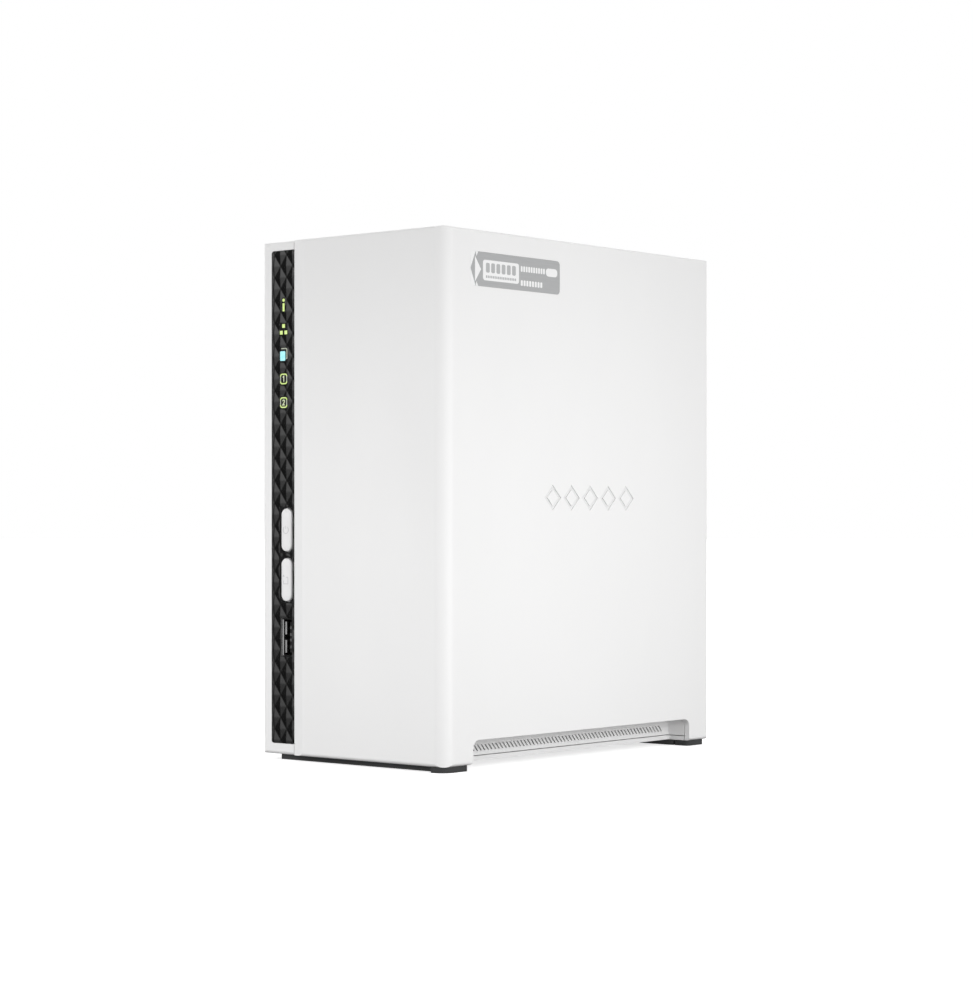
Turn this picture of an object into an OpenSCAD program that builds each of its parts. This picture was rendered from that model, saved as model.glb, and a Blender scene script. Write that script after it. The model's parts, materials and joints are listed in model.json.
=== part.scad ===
// Two-bay network attached storage: a moulded body on a slotted plinth, with a cover that
// slides off forwards, a lamp column at the front left and two hard drives standing inside.
// Lengths are millimetres. Inside the modules x runs from the left side, y from the front
// and z from the floor; from_corner() then puts the origin under the middle of the body.

/* [Body] */
// Width, left to right
body_w = 90.2; // [89.6:0.1:92]
// Depth, front to rear
body_d = 156.3; // [156:0.1:162]
// Height, floor to top
body_h = 188.6; // [188:0.1:196]
// Thickness of the moulded shells
wall = 2.2; // [1.8:0.1:2.4]
// Radius of the cover's upright front edge
corner_r = 5; // [4:0.5:6]
// Radius of the small roundings on the outer edges
edge_r = 1.2; // [0.8:0.1:1.5]

/* [Plinth] */
// Height of the rubber feet
foot_h = 2; // [1.6:0.1:2.2]
// Top of the long cut-out in each side
notch_top = 10.5; // [9.5:0.5:11]
// Front pillar's depth, from the front to the cut-out
notch_front = 15.3; // [14:0.1:17]
// Rear pillar's depth, from the cut-out to the rear
notch_rear = 12.5; // [11.5:0.1:13]
// How far the slotted walls stand inside the sides
vent_inset = 10; // [9:0.5:11]
// Spacing of the air slots
slot_pitch = 2; // [2:0.25:4]

/* [Front column] */
// Distance from the left side to the joint between shell and cover
seam_x = 16.7; // [16.4:0.1:17]
// Gap at that joint
seam_gap = 0.3; // [0.3:0.05:0.4]
// How far the column lies behind the cover's front
column_back = 1.5; // [1.2:0.1:1.8]
// Width of the sloping edge of the cover beside the column
slope_w = 5.4; // [4:0.1:6]
// Width of the white frame left of the black strip
frame_w = 5.05; // [4.5:0.05:5.5]
// Width of a push button
button_w = 5.5; // [5:0.1:5.6]
// Height of a push button
button_h = 15.8; // [12:0.1:16]
// Travel of a push button
button_travel = 1; // [0.6:0.1:1.1]

/* [Inside] */
// Thickness of a hard drive
drive_t = 26.1; // [25:0.1:26.1]
// Width of a hard drive
drive_w = 101.6; // [101:0.1:101.6]
// Length of a hard drive, which stands upright
drive_l = 147; // [145:0.5:147]
// Width and height of the fan
fan_w = 60; // [60:1:62]
// Thickness of the fan
fan_t = 15; // [14:0.5:15]
// Number of fan blades
blades = 7; // [5:1:9]
// Thickness of the circuit boards
board_t = 1.6; // [1.2:0.2:1.6]
// Thickness of the sheet metal
sheet_t = 1.2; // [1:0.1:1.4]

/* [Hidden] */
$fn = 48;

// Fits
slack = 0.3;       // between pieces that slide past each other
snug = 0.05;       // between fixed pieces, and a pin's radial running clearance
past = 1;          // how far a cutter runs past what it cuts
bite = 0.1;        // overlap where the solids of one piece join

// Colours
WHITE = "#eceeec";
BLACK = "#1e1e1f";
RUBBER = "#343536";
STEEL = "#b9bcbe";
BOARD = "#1d5a3a";
GOLD = "#c9a85a";
GREY = "#b4b7b9";

// Shells
column_r = 2.5;                        // upright front edge of the left shell
rear_r = 1.5;                          // upright rear edges
notch_r = 3;                           // upper corners of the side cut-outs
pillar_r = 1.5;                        // lower corner of the front pillar
shell_x = seam_x - seam_gap;           // right edge of the left shell
notch_end = body_d - notch_rear;
cover_in = body_w - wall;              // inner face of the cover's side
roof_in = body_h - wall;               // underside of the roof
inner_r = corner_r - wall;

// Plinth
plate_t = 1.6;                         // base plate
plate_top = foot_h + plate_t;
shelf_z = 13;                          // underside of the shelf that closes the plinth
shelf_t = 1.5;
shelf_top = shelf_z + shelf_t;
vent_t = 1.5;                          // slotted walls
plinth_y = wall + 1.5;                 // front of the base plate and the shelf
vent_right = body_w - vent_inset;
slot_low = 5.4;                        // lower and upper ends of the air slots
slot_high = 7.6;
slot_w = 0.8;
slot_lean = 0.9;                       // rearward run of a slot for each mm of height
slot_margin = 4;                       // plain wall at each end of the row
bar_x = 7.3;                           // the foot bars stop this far from each side
bar_w = 9.5;
under_slot = [2.4, 60];
pad_w = 6.8;                           // cover's own feet, under its pillars
pad_front_d = 12.6;
pad_rear_end = body_d - 2.6;
pad_edge = 0.2;
pad_lead = 0.8;                        // rear pad, ahead of its pillar

// Rear panel
rim = 4;                               // the shells stand this far past the panel
panel_t = 2;
panel_back = body_d - rim;
panel_y = panel_back - panel_t;

// Black strip and what shows through it
strip_y = 1.5;
strip_t = 2;
strip_back = strip_y + strip_t;
strip_low = 5.9;
strip_high = 185.4;
strip_r = 1;                           // corners of its opening
icon_x = 11;
status_dot_r = 0.55;
status_bar = [0.85, 2.9];
status_z = 165.2;
network_z = 156.5;
network_square = 1.3;
usb_icon_z = 147.4;
usb_icon_size = [3.7, 4.6];
drive_icon_z = [138.6, 130];
drive_icon_size = [3.7, 3.9];
power_z = 83.65;
copy_z = 65.55;
button_x = 12.5;
button_r = 2.3;
cap_y = 1.4;
flange_t = 1;
flange_y = strip_back + slack;
flange_lip = 0.65;                     // past the cap at the right; the left lip is wider
lamp_board_y = 8.2;
lamp_board_t = 1.2;
lamp_board_back = lamp_board_y + lamp_board_t;
switch_y = flange_y + flange_t + button_travel + slack;
pipe_front = strip_y + 0.1;             // sunk a little, below the strip's relief
pipe_back = 7.3;
switch_body = [5.6, 6];
plunger_r = 1.4;
plunger_l = 0.7;
lamp_half = 1.3;

// Boards and sockets
board_x = 9.6;                         // right face of the mainboard
board_front = 12;
board_back = 148;
board_low = 16;
board_high = 170;
usb_w = 5.72;
usb_h = 13.9;
usb_skin = 0.35;
usb_x = board_x + snug;
front_usb_z = 44.55;
front_usb_y = 1.9;
front_usb_l = 17;
rear_usb_z = [74, 93];
rear_usb_l = 14;
socket_back = panel_back + 0.2;
jack_w = 13.4;                         // network jack
jack_h = 16;
jack_l = 21;
jack_z = 50;
power_jack_z = 28;
power_jack_w = 11;
power_jack_h = 9;
power_jack_l = 14;
power_bore_r = 3.15;
power_pin_r = 1.05;
reset_x = 12.5;
reset_z = 110;
reset_r = 0.9;
reset_l = 5;
lock_x = 34;
lock_z = 22;
lock_size = [7, 3];
lock_plate_t = 2.2;
lower_slot = [2.2, 22];
comb_pitch = 5.2;                      // honeycomb over the fan
comb_r = 2.45;

board_screw_y = [board_front + 4, board_back - 6];
board_screw_z = [board_low + 4.5, board_high - 4.5];
board_screw_x = wall + 1;              // where the mainboard's screws end
lamp_screw_x = 5.4;
lamp_screw_y = lamp_board_y - 3.5;
lamp_screw_z = [58, 106, 171];
panel_screw_x = 5.2;
panel_screw_y = panel_y - 7;
panel_screw_z = [126, 178];
base_screw_x = [22, body_w - 22];
base_screw_y = [26, 134];
board_post_r = 3;
lamp_post = 1.8;                       // half the width of the lamp board's posts
panel_post = 2.6;
panel_post_l = 9;
base_post_r = 3;
base_screw_l = 9;

// Screws, and the holes they turn in or pass through
screw_r = 1.25;
screw_hole_r = 1.3;
screw_free_r = 1.6;
screw_head_r = 2.8;
screw_head_t = 1.8;
small_screw_r = 0.75;
small_hole_r = 0.8;
small_free_r = 1.1;
small_head_r = 1.8;
small_head_t = 1.2;
flat_head_r = 2.4;
flat_head_t = 1.4;
drive_screw_r = 1.5;
drive_head_r = 3;
drive_head_t = 1.6;
fan_screw_r = 2;
fan_screw_hole_r = 2.15;
fan_head_r = 3.6;
fan_head_t = 1.8;

// Drive cage, drives and fan
cage_x = 24.6;
bay_gap = 0.5;                         // beside a drive
cage_front = 11;
drive_y = 12;
drive_z = 24.4;
cage_low = 22.6;
cage_high = 172;
bay_pitch = drive_t + 2 * bay_gap + sheet_t;
drive_x = [for (i = [0, 1]) cage_x + sheet_t + bay_gap + i * bay_pitch];
cage_back = drive_y + drive_w + 2;
cage_foot_x = [cage_x, cage_x + bay_pitch];
cage_leg_d = 6;
cage_foot_w = 9;
cage_foot_y = [cage_front, cage_back - cage_leg_d];
cage_screw_in = 3;                     // from a cage foot's end to its screw
drive_screw_y = [drive_y + 3.2, drive_y + drive_w - 3.2];
drive_screw_z = [40, 156];
cage_right = cage_x + 2 * bay_pitch + sheet_t;
lid_t = 0.9;
disc_r = 47.5;
disc_t = 1.3;
disc_gap = 4.5;
spindle_r = 12.5;
lid_disc_r = 34;
well_r = 49.2;
well_x = 8;
disc_y = drive_y + drive_w / 2;
disc_z = drive_z + drive_l - 52;
drive_board_t = 1.3;
backplane_z = 17.5;
socket_y = 58;                         // storage sockets
socket_l = 42;
socket_w = 5.6;
socket_h = 6.5;
fan_x = 54.5;
fan_z = 118;
fan_y = panel_y - fan_t;
fan_r = 28.3;
fan_hub_r = 13;
fan_post_r = 4.4;
blade_pitch = 38;
blade_chord = 18;
blade_t = 1.4;
fan_shaft_r = 1;
fan_hole = 25;                         // half the spacing of the fan's screws

// Ornament and label on the cover's side
ornament_y = 54;
ornament_z = 95.35;
ornament_w = 54.6;
ornament_h = 9.3;
ornament_count = 5;
ornament_depth = 0.4;
ornament_line = 0.36;                  // width of its lines, as a share of its half size
label_low = [13.9, 168.9];
label_high = [63.5, 180.9];
label_depth = 0.25;

// Thumbscrews
thumb_x = 83.3;
thumb_z = [18.4, 179.4];
thumb_r = 3.9;
thumb_shank_r = 1.5;
thumb_head_t = 3.4;
boss_r = 2.9;
boss_y = 141;

// Helpers

// Puts the origin on the floor under the middle of the body
module from_corner() {
    translate([-body_w / 2, -body_d / 2, 0])
        children();
}

// Block between two opposite corners
module block(low, high) {
    translate(low)
        cube(high - low);
}

// Rectangle with round corners, lower left corner at p
module round_rect(p, size, r) {
    translate([p[0] + r, p[1]])
        square([size[0] - 2 * r, size[1]]);
    translate([p[0], p[1] + r])
        square([size[0], size[1] - 2 * r]);
    for (x = [r, size[0] - r], y = [r, size[1] - r])
        translate([p[0] + x, p[1] + y])
            circle(r);
}

// Rectangle with round corners, centred on c
module centred_rect(c, size, r) {
    round_rect(c - size / 2, size, r);
}

// Outline drawn in x and z, made thick from y0 towards the rear
module from_front(y0, thick) {
    translate([0, y0 + thick, 0])
        rotate([90, 0, 0])
            linear_extrude(thick)
                children();
}

// Outline drawn in y and z, made thick from x0 towards the right
module from_left(x0, thick) {
    translate([x0, 0, 0])
        rotate([90, 0, 90])
            linear_extrude(thick)
                children();
}

// Cylinder along y, from y0 to y1
module rod(x, z, y0, y1, r) {
    translate([x, y0, z])
        rotate([-90, 0, 0])
            cylinder(h = y1 - y0, r = r);
}

// Cylinder along x, from x0 to x1
module cross_rod(y, z, x0, x1, r) {
    translate([x0, y, z])
        rotate([0, 90, 0])
            cylinder(h = x1 - x0, r = r);
}

// Outer form of the body from the front plane given, with every outer edge rounded
module envelope(front, front_r) {
    intersection() {
        translate([0, 0, foot_h])
            linear_extrude(body_h - foot_h) {
                round_rect([0, front], [body_w, body_d - front], front_r);
                round_rect([0, body_d / 2], [body_w, body_d / 2], rear_r);
            }
        from_front(front - past, body_d - front + 2 * past)
            round_rect([0, foot_h], [body_w, body_h - foot_h], edge_r);
        from_left(-past, body_w + 2 * past)
            round_rect([front, foot_h], [body_d - front, body_h - foot_h], edge_r);
    }
}

// The long cut-out in one side, between the pillars
module side_notch(x0, thick) {
    from_left(x0, thick) {
        round_rect([notch_front, -notch_top], [notch_end - notch_front, 2 * notch_top], notch_r);
        difference() {
            translate([notch_front - pillar_r, foot_h - past])
                square([pillar_r + past, pillar_r + past]);
            translate([notch_front - pillar_r, foot_h + pillar_r])
                circle(pillar_r);
        }
    }
}

// Shells

module left_shell() {
    color(WHITE)
        from_corner()
            difference() {
                union() {
                    difference() {
                        intersection() {
                            envelope(column_back, column_r);
                            block([-past, -past, 0], [shell_x, body_d + past, body_h + past]);
                        }
                        block([wall, column_back + wall, -past], [seam_x, body_d + past, roof_in]);
                    }
                    // posts for the mainboard, the lamp board and the rear panel
                    for (y = board_screw_y, z = board_screw_z)
                        cross_rod(y, z, wall - bite, board_x - board_t, board_post_r);
                    for (z = lamp_screw_z)
                        block([wall - bite, strip_back + snug, z - lamp_post],
                            [lamp_screw_x + lamp_post, lamp_board_y, z + lamp_post]);
                    for (z = panel_screw_z)
                        block([wall - bite, panel_y - panel_post_l, z - panel_post],
                            [panel_screw_x + panel_post, panel_y, z + panel_post]);
                }
                from_front(-past, column_back + wall + past + snug)
                    round_rect([frame_w, strip_low], [seam_x, strip_high - strip_low], strip_r);
                side_notch(-past, wall + 2 * past);
                for (y = board_screw_y, z = board_screw_z)
                    cross_rod(y, z, board_screw_x - 0.4, board_x, screw_hole_r);
                for (z = lamp_screw_z)
                    rod(lamp_screw_x, z, lamp_screw_y - 0.5, lamp_board_y + past, small_hole_r);
                for (z = panel_screw_z)
                    rod(panel_screw_x, z, panel_screw_y - past, panel_y + past, screw_hole_r);
            }
}

// Boss that a thumbscrew turns in, on a rib from the cover's side
module screw_boss(z) {
    rod(thumb_x, z, boss_y, panel_y - slack, boss_r);
    block([thumb_x, boss_y, z - boss_r], [cover_in + wall / 2, panel_y - slack, z + boss_r]);
}

module diamond(half_w, half_h) {
    polygon([[-half_w, 0], [0, -half_h], [half_w, 0], [0, half_h]]);
}

// Row of sunken diamond outlines, a plain ornament on the side
module side_ornament() {
    step = ornament_w / ornament_count;
    half_w = step * 0.44;
    half_h = ornament_h / 2;
    from_left(body_w - ornament_depth, past)
        for (i = [0:ornament_count - 1])
            translate([ornament_y + (i + 0.5) * step, ornament_z])
                difference() {
                    diamond(half_w, half_h);
                    diamond(half_w * (1 - ornament_line), half_h * (1 - ornament_line));
                }
}

module slide_cover() {
    color(WHITE)
        from_corner()
            difference() {
                union() {
                    difference() {
                        intersection() {
                            envelope(0, corner_r);
                            block([seam_x, -past, 0], [body_w + past, body_d + past, body_h + past]);
                        }
                        // room inside, open at the left, the rear and below
                        translate([0, 0, -past])
                            linear_extrude(roof_in + past) {
                                round_rect([seam_x + slope_w + 2, wall],
                                    [cover_in - seam_x - slope_w - 2, body_d], inner_r);
                                translate([0, wall + 1])
                                    square([cover_in - inner_r, body_d]);
                            }
                    }
                    for (z = thumb_z)
                        screw_boss(z);
                }
                // sloping edge beside the lamp column
                translate([0, 0, -past])
                    linear_extrude(body_h + 2 * past)
                        polygon([
                            [seam_x - past, -past], [seam_x + slope_w, -past], [seam_x + slope_w, 0],
                            [seam_x, column_back], [seam_x - past, column_back]
                        ]);
                side_notch(cover_in - past, wall + 2 * past);
                for (z = thumb_z)
                    rod(thumb_x, z, boss_y - past, panel_y, thumb_shank_r + snug);
                side_ornament();
                label_outline(label_depth + past, body_w - label_depth, snug);
            }
}

module label_outline(thick, x0, grow) {
    from_left(x0, thick)
        round_rect(label_low - [grow, grow], label_high - label_low + 2 * [grow, grow], 1.6);
}

module spec_label() {
    color(GREY)
        from_corner()
            label_outline(label_depth - snug, body_w - label_depth + snug / 2, 0);
}

// Outlines of the two feet under the cover's pillars
module pad_outlines() {
    x0 = body_w - pad_edge - pad_w;
    difference() {
        round_rect([x0, pad_edge], [pad_w, pad_front_d], 1);
        difference() {
            translate([body_w - corner_r, -past])
                square([corner_r + past, corner_r + past]);
            translate([body_w - corner_r, corner_r])
                circle(corner_r - pad_edge);
        }
    }
    round_rect([x0, notch_end - pad_lead], [pad_w, pad_rear_end - notch_end + pad_lead], 1.5);
}

// The feet meet the cover under its walls, and stay clear of the base plate beside them
module cover_feet() {
    color(RUBBER)
        from_corner() {
            linear_extrude(foot_h - slack)
                pad_outlines();
            linear_extrude(foot_h)
                intersection() {
                    pad_outlines();
                    union() {
                        translate([cover_in, 0])
                            square([wall, body_d]);
                        square([body_w, wall]);
                    }
                }
        }
}

// Front column

module button_hole(z, grow) {
    centred_rect([button_x, z], [button_w, button_h] + 2 * [grow, grow], button_r + grow);
}

// Outlines of the lamps' light pipes in the strip
module status_icon(grow) {
    translate([icon_x, status_z + 2.05])
        circle(status_dot_r + grow);
    translate([icon_x - status_bar[0] / 2 - grow, status_z - 1.95 - grow])
        square(status_bar + 2 * [grow, grow]);
}

module network_icon(grow) {
    side = network_square + 2 * grow;
    for (p = [[0, 1.4], [-1.15, -1], [1.15, -1]])
        translate([icon_x + p[0] - side / 2, network_z + p[1] - side / 2])
            square(side);
}

module usb_icon(grow) {
    centred_rect([icon_x, usb_icon_z], usb_icon_size + 2 * [grow, grow], 0.6 + grow);
}

module drive_icon(z, grow) {
    centred_rect([icon_x, z], drive_icon_size + 2 * [grow, grow], 0.7 + grow);
}

module usb_mouth(z, grow) {
    translate([usb_x - grow, z - usb_h / 2 - grow])
        square([usb_w + 2 * grow, usb_h + 2 * grow]);
}

module front_strip() {
    color(BLACK)
        from_corner()
            from_front(strip_y, strip_t)
                difference() {
                    round_rect([frame_w + snug, strip_low + snug],
                        [shell_x - frame_w - snug, strip_high - strip_low - 2 * snug], strip_r - snug);
                    button_hole(power_z, slack);
                    button_hole(copy_z, slack);
                    status_icon(snug);
                    network_icon(snug);
                    usb_icon(snug);
                    for (z = drive_icon_z)
                        drive_icon(z, snug);
                    usb_mouth(front_usb_z, snug);
                }
}

module light_pipe() {
    from_front(pipe_front, pipe_back - pipe_front)
        children();
}

module status_light() {
    color("#b7d433")
        from_corner()
            light_pipe()
                status_icon(0);
}

module network_light() {
    color("#b7d433")
        from_corner()
            light_pipe()
                network_icon(0);
}

module usb_light() {
    color("#49c8e8")
        from_corner()
            light_pipe()
                usb_icon(0);
}

module drive_1_light() {
    color("#d6d98a")
        from_corner()
            light_pipe()
                drive_icon(drive_icon_z[0], 0);
}

module drive_2_light() {
    color("#d6d98a")
        from_corner()
            light_pipe()
                drive_icon(drive_icon_z[1], 0);
}

module lamp_board() {
    color(BOARD)
        from_corner()
            from_front(lamp_board_y, lamp_board_t)
                difference() {
                    round_rect([3.4, 54], [12.4, 120], 1);
                    for (z = lamp_screw_z)
                        translate([lamp_screw_x, z])
                            circle(small_free_r);
                }
}

module lamps() {
    color("#f2f0dc")
        from_corner()
            for (z = concat([status_z, network_z, usb_icon_z], drive_icon_z))
                block([icon_x - lamp_half, pipe_back + snug, z - lamp_half],
                    [icon_x + lamp_half, lamp_board_y, z + lamp_half]);
}

// Push switch behind a button: a body with a round plunger, which stays at the button's
// full travel
module push_switch(z) {
    from_front(switch_y + plunger_l, lamp_board_y - switch_y - plunger_l)
        centred_rect([button_x, z], switch_body, 0.5);
    rod(button_x, z, switch_y, switch_y + plunger_l + bite, plunger_r);
}

module power_switch() {
    color("#3b3c3e")
        from_corner()
            push_switch(power_z);
}

module copy_switch() {
    color("#3b3c3e")
        from_corner()
            push_switch(copy_z);
}

// Button: a cap through the strip, and a flange that stops behind it
module push_button(z) {
    from_front(cap_y, flange_y - cap_y + bite)
        button_hole(z, 0);
    from_front(flange_y, flange_t)
        centred_rect([button_x - 0.35, z], [button_w, button_h] + 2 * [flange_lip, flange_lip], 2);
}

module power_button() {
    color(WHITE)
        from_corner()
            push_button(power_z);
}

module copy_button() {
    color(WHITE)
        from_corner()
            push_button(copy_z);
}

// Sockets and boards

// Folded metal shell of a USB socket, open towards one end
module usb_shell(z, y0, y1) {
    difference() {
        block([usb_x, y0, z - usb_h / 2], [usb_x + usb_w, y1, z + usb_h / 2]);
        block([usb_x + usb_skin, y0 - past, z - usb_h / 2 + usb_skin],
            [usb_x + usb_w - usb_skin, y1 + past, z + usb_h / 2 - usb_skin]);
    }
}

// Two contact springs inside the shell's board side
module usb_springs(z, y0, y1) {
    half = [0.35, 2.3];
    for (dz = [-3.35, 3.35])
        block([usb_x + usb_skin - snug, y0, z + dz - half[1]],
            [usb_x + usb_skin + half[0], y1, z + dz + half[1]]);
}

// Plastic insert: a block that closes one end, and the tongue that carries the contacts
module usb_insert(z, back0, back1, tip0, tip1) {
    inner = usb_h / 2 - usb_skin - snug;
    tongue_x = usb_x + usb_w - 3.1;
    tongue = [1.8, 5.5];
    block([usb_x + usb_skin + 0.4, back0, z - inner], [usb_x + usb_w - usb_skin - snug, back1, z + inner]);
    block([tongue_x, tip0, z - tongue[1]], [tongue_x + tongue[0], tip1, z + tongue[1]]);
}

module front_usb_shell() {
    color(STEEL)
        from_corner() {
            usb_shell(front_usb_z, front_usb_y, front_usb_y + front_usb_l);
            usb_springs(front_usb_z, front_usb_y + 2.2, front_usb_y + 11);
        }
}

module front_usb_tongue() {
    color(BLACK)
        from_corner()
            usb_insert(front_usb_z, front_usb_y + 12.2, front_usb_y + front_usb_l - 0.2,
                front_usb_y + 2, front_usb_y + 12.4);
}

module rear_usb_shells() {
    color(STEEL)
        from_corner()
            for (z = rear_usb_z) {
                usb_shell(z, socket_back - rear_usb_l, socket_back);
                usb_springs(z, socket_back - 11, socket_back - 2.2);
            }
}

module rear_usb_tongues() {
    color(BLACK)
        from_corner()
            for (z = rear_usb_z)
                usb_insert(z, socket_back - rear_usb_l + 0.2, socket_back - 11.2,
                    socket_back - 11.4, socket_back - 1.4);
}

module mainboard() {
    color(BOARD)
        from_corner()
            from_left(board_x - board_t, board_t)
                difference() {
                    union() {
                        round_rect([board_front, board_low],
                            [board_back - board_front, board_high - board_low], 1.5);
                        translate([4.2, 32])
                            square([board_front, 21]);
                    }
                    for (y = board_screw_y, z = board_screw_z)
                        translate([y, z])
                            circle(screw_free_r);
                }
}

heatsink_y = 62;
heatsink_z = 98;
heatsink_w = 34;

// The main chip with its heatsink: a foot with upright fins
module heatsink() {
    fins = 9;
    gap = heatsink_w / (2 * fins - 1);
    chip = [1.4, 9, 25];
    foot_t = 2;
    fin_h = 9;
    color("#2f3133")
        from_corner() {
            block([board_x, heatsink_y + chip[1], heatsink_z + chip[1]],
                [board_x + chip[0], heatsink_y + chip[2], heatsink_z + chip[2]]);
            block([board_x + chip[0], heatsink_y, heatsink_z],
                [board_x + chip[0] + foot_t, heatsink_y + heatsink_w, heatsink_z + heatsink_w]);
            for (i = [0:fins - 1])
                block([board_x + chip[0] + foot_t - bite, heatsink_y + 2 * i * gap, heatsink_z],
                    [board_x + chip[0] + fin_h, heatsink_y + (2 * i + 1) * gap, heatsink_z + heatsink_w]);
        }
}

memory_size = [1.1, 9, 12];

module memory_chips() {
    color(BLACK)
        from_corner()
            for (y = [102, 116], z = [100, 118])
                block([board_x, y, z], [board_x, y, z] + memory_size);
}

cell_y = 40;
cell_z = 150;
cell_r = 10;
cell_x = [board_x + 1.2, board_x + 4.4];
holder_t = 4;

module coin_cell() {
    color(STEEL)
        from_corner()
            cross_rod(cell_y, cell_z, cell_x[0], cell_x[1], cell_r);
}

module coin_cell_holder() {
    color(BLACK)
        from_corner()
            difference() {
                from_left(board_x, holder_t)
                    centred_rect([cell_y, cell_z], [23, 17], 2);
                cross_rod(cell_y, cell_z, cell_x[0] - 0.2, board_x + holder_t + past, cell_r + slack);
            }
}

link_y = [60, 98];
link_l = 8;
link_skin = 2;

module board_link() {
    color(BLACK)
        from_corner()
            difference() {
                block([board_x, link_y[0], backplane_z - 2.5],
                    [board_x + link_l, link_y[1], backplane_z + board_t + 2.5]);
                block([board_x + link_skin, link_y[0] + link_skin, backplane_z - snug],
                    [board_x + link_l + past, link_y[1] - link_skin, backplane_z + board_t + snug]);
            }
}

module network_jack() {
    color(STEEL)
        from_corner()
            difference() {
                block([board_x + snug, socket_back - jack_l, jack_z - jack_h / 2],
                    [board_x + snug + jack_w, socket_back, jack_z + jack_h / 2]);
                jack_mouth(socket_back - 13, past);
            }
}

// Stepped mouth of the network jack, latch side away from the board
module jack_mouth(y0, extra) {
    mid = board_x + snug + jack_w / 2;
    block([mid - 4.8, y0, jack_z - 5.9], [mid + 2.2, socket_back + extra, jack_z + 5.9]);
    block([mid + 1.7, y0, jack_z - 3], [mid + 3.7, socket_back + extra, jack_z + 3]);
    block([mid + 3.2, y0, jack_z - 1.8], [mid + 5, socket_back + extra, jack_z + 1.8]);
}

module network_contacts() {
    pins = 8;
    pitch = 1.02;
    mid = board_x + snug + jack_w / 2;
    color(GOLD)
        from_corner()
            for (i = [0:pins - 1])
                block([mid - 4.75, socket_back - 12.9, jack_z + (i - (pins - 1) / 2) * pitch - 0.18],
                    [mid - 4, socket_back - 3.5, jack_z + (i - (pins - 1) / 2) * pitch + 0.18]);
}

power_jack_x = board_x + snug + power_jack_w / 2;

module power_jack() {
    color(BLACK)
        from_corner()
            difference() {
                block([board_x + snug, socket_back - power_jack_l, power_jack_z - power_jack_h / 2],
                    [board_x + snug + power_jack_w, socket_back, power_jack_z + power_jack_h / 2]);
                rod(power_jack_x, power_jack_z, socket_back - power_jack_l + 4, socket_back + past,
                    power_bore_r);
            }
}

module power_pin() {
    color(STEEL)
        from_corner()
            rod(power_jack_x, power_jack_z, socket_back - power_jack_l + 4, socket_back - 1, power_pin_r);
}

module reset_switch() {
    color("#3b3c3e")
        from_corner()
            difference() {
                block([board_x, panel_y - 7, reset_z - 3], [board_x + 6, panel_y - 2, reset_z + 3]);
                rod(reset_x, reset_z, panel_y - 5.5, panel_y, reset_r + snug);
            }
}

module reset_button() {
    color("#d9b63c")
        from_corner()
            rod(reset_x, reset_z, panel_y - 4.5, panel_y - 4.5 + reset_l, reset_r);
}

module backplane() {
    color(BOARD)
        from_corner()
            translate([0, 0, backplane_z])
                linear_extrude(board_t)
                    difference() {
                        union() {
                            round_rect([cage_x + 2.5, 34], [cage_right - cage_x - 5, 68], 1.5);
                            translate([board_x + link_skin + slack, link_y[0] + link_skin + slack])
                                square([30, link_y[1] - link_y[0] - 2 * (link_skin + slack)]);
                        }
                        for (x = [32, 76], y = [40, 54])
                            translate([x, y])
                                circle(screw_free_r);
                    }
}

// Slotted top of a storage socket
module sata_socket(x) {
    top = backplane_z + board_t + socket_h;
    difference() {
        block([x, socket_y, backplane_z + board_t], [x + socket_w, socket_y + socket_l, top]);
        for (y = [[3, 14], [19, 36]])
            block([x + 1.6, socket_y + y[0], top - 4], [x + 3.2, socket_y + y[1], top + past]);
    }
}

socket_in = 4.4;                       // from a drive's board side to its socket

module sata_sockets() {
    color(BLACK)
        from_corner()
            for (x = drive_x)
                sata_socket(x + socket_in);
}

// Plinth

// Slanting air slots along one wall
module air_slots() {
    run = notch_end - notch_front - 2 * slot_margin;
    count = floor(run / slot_pitch);
    lean = (slot_high - slot_low) * slot_lean;
    for (i = [0:count - 1])
        translate([notch_front + slot_margin + (i + 0.5) * slot_pitch, 0])
            polygon([
                [-slot_w / 2 + lean / 2, slot_low], [slot_w / 2 + lean / 2, slot_low],
                [slot_w / 2 - lean / 2, slot_high], [-slot_w / 2 - lean / 2, slot_high]
            ]);
}

module slotted_wall(x0) {
    from_left(x0, vent_t)
        difference() {
            translate([notch_front, plate_top + seam_gap])
                square([notch_end - notch_front, shelf_z - plate_top - seam_gap + bite]);
            air_slots();
        }
}

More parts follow.
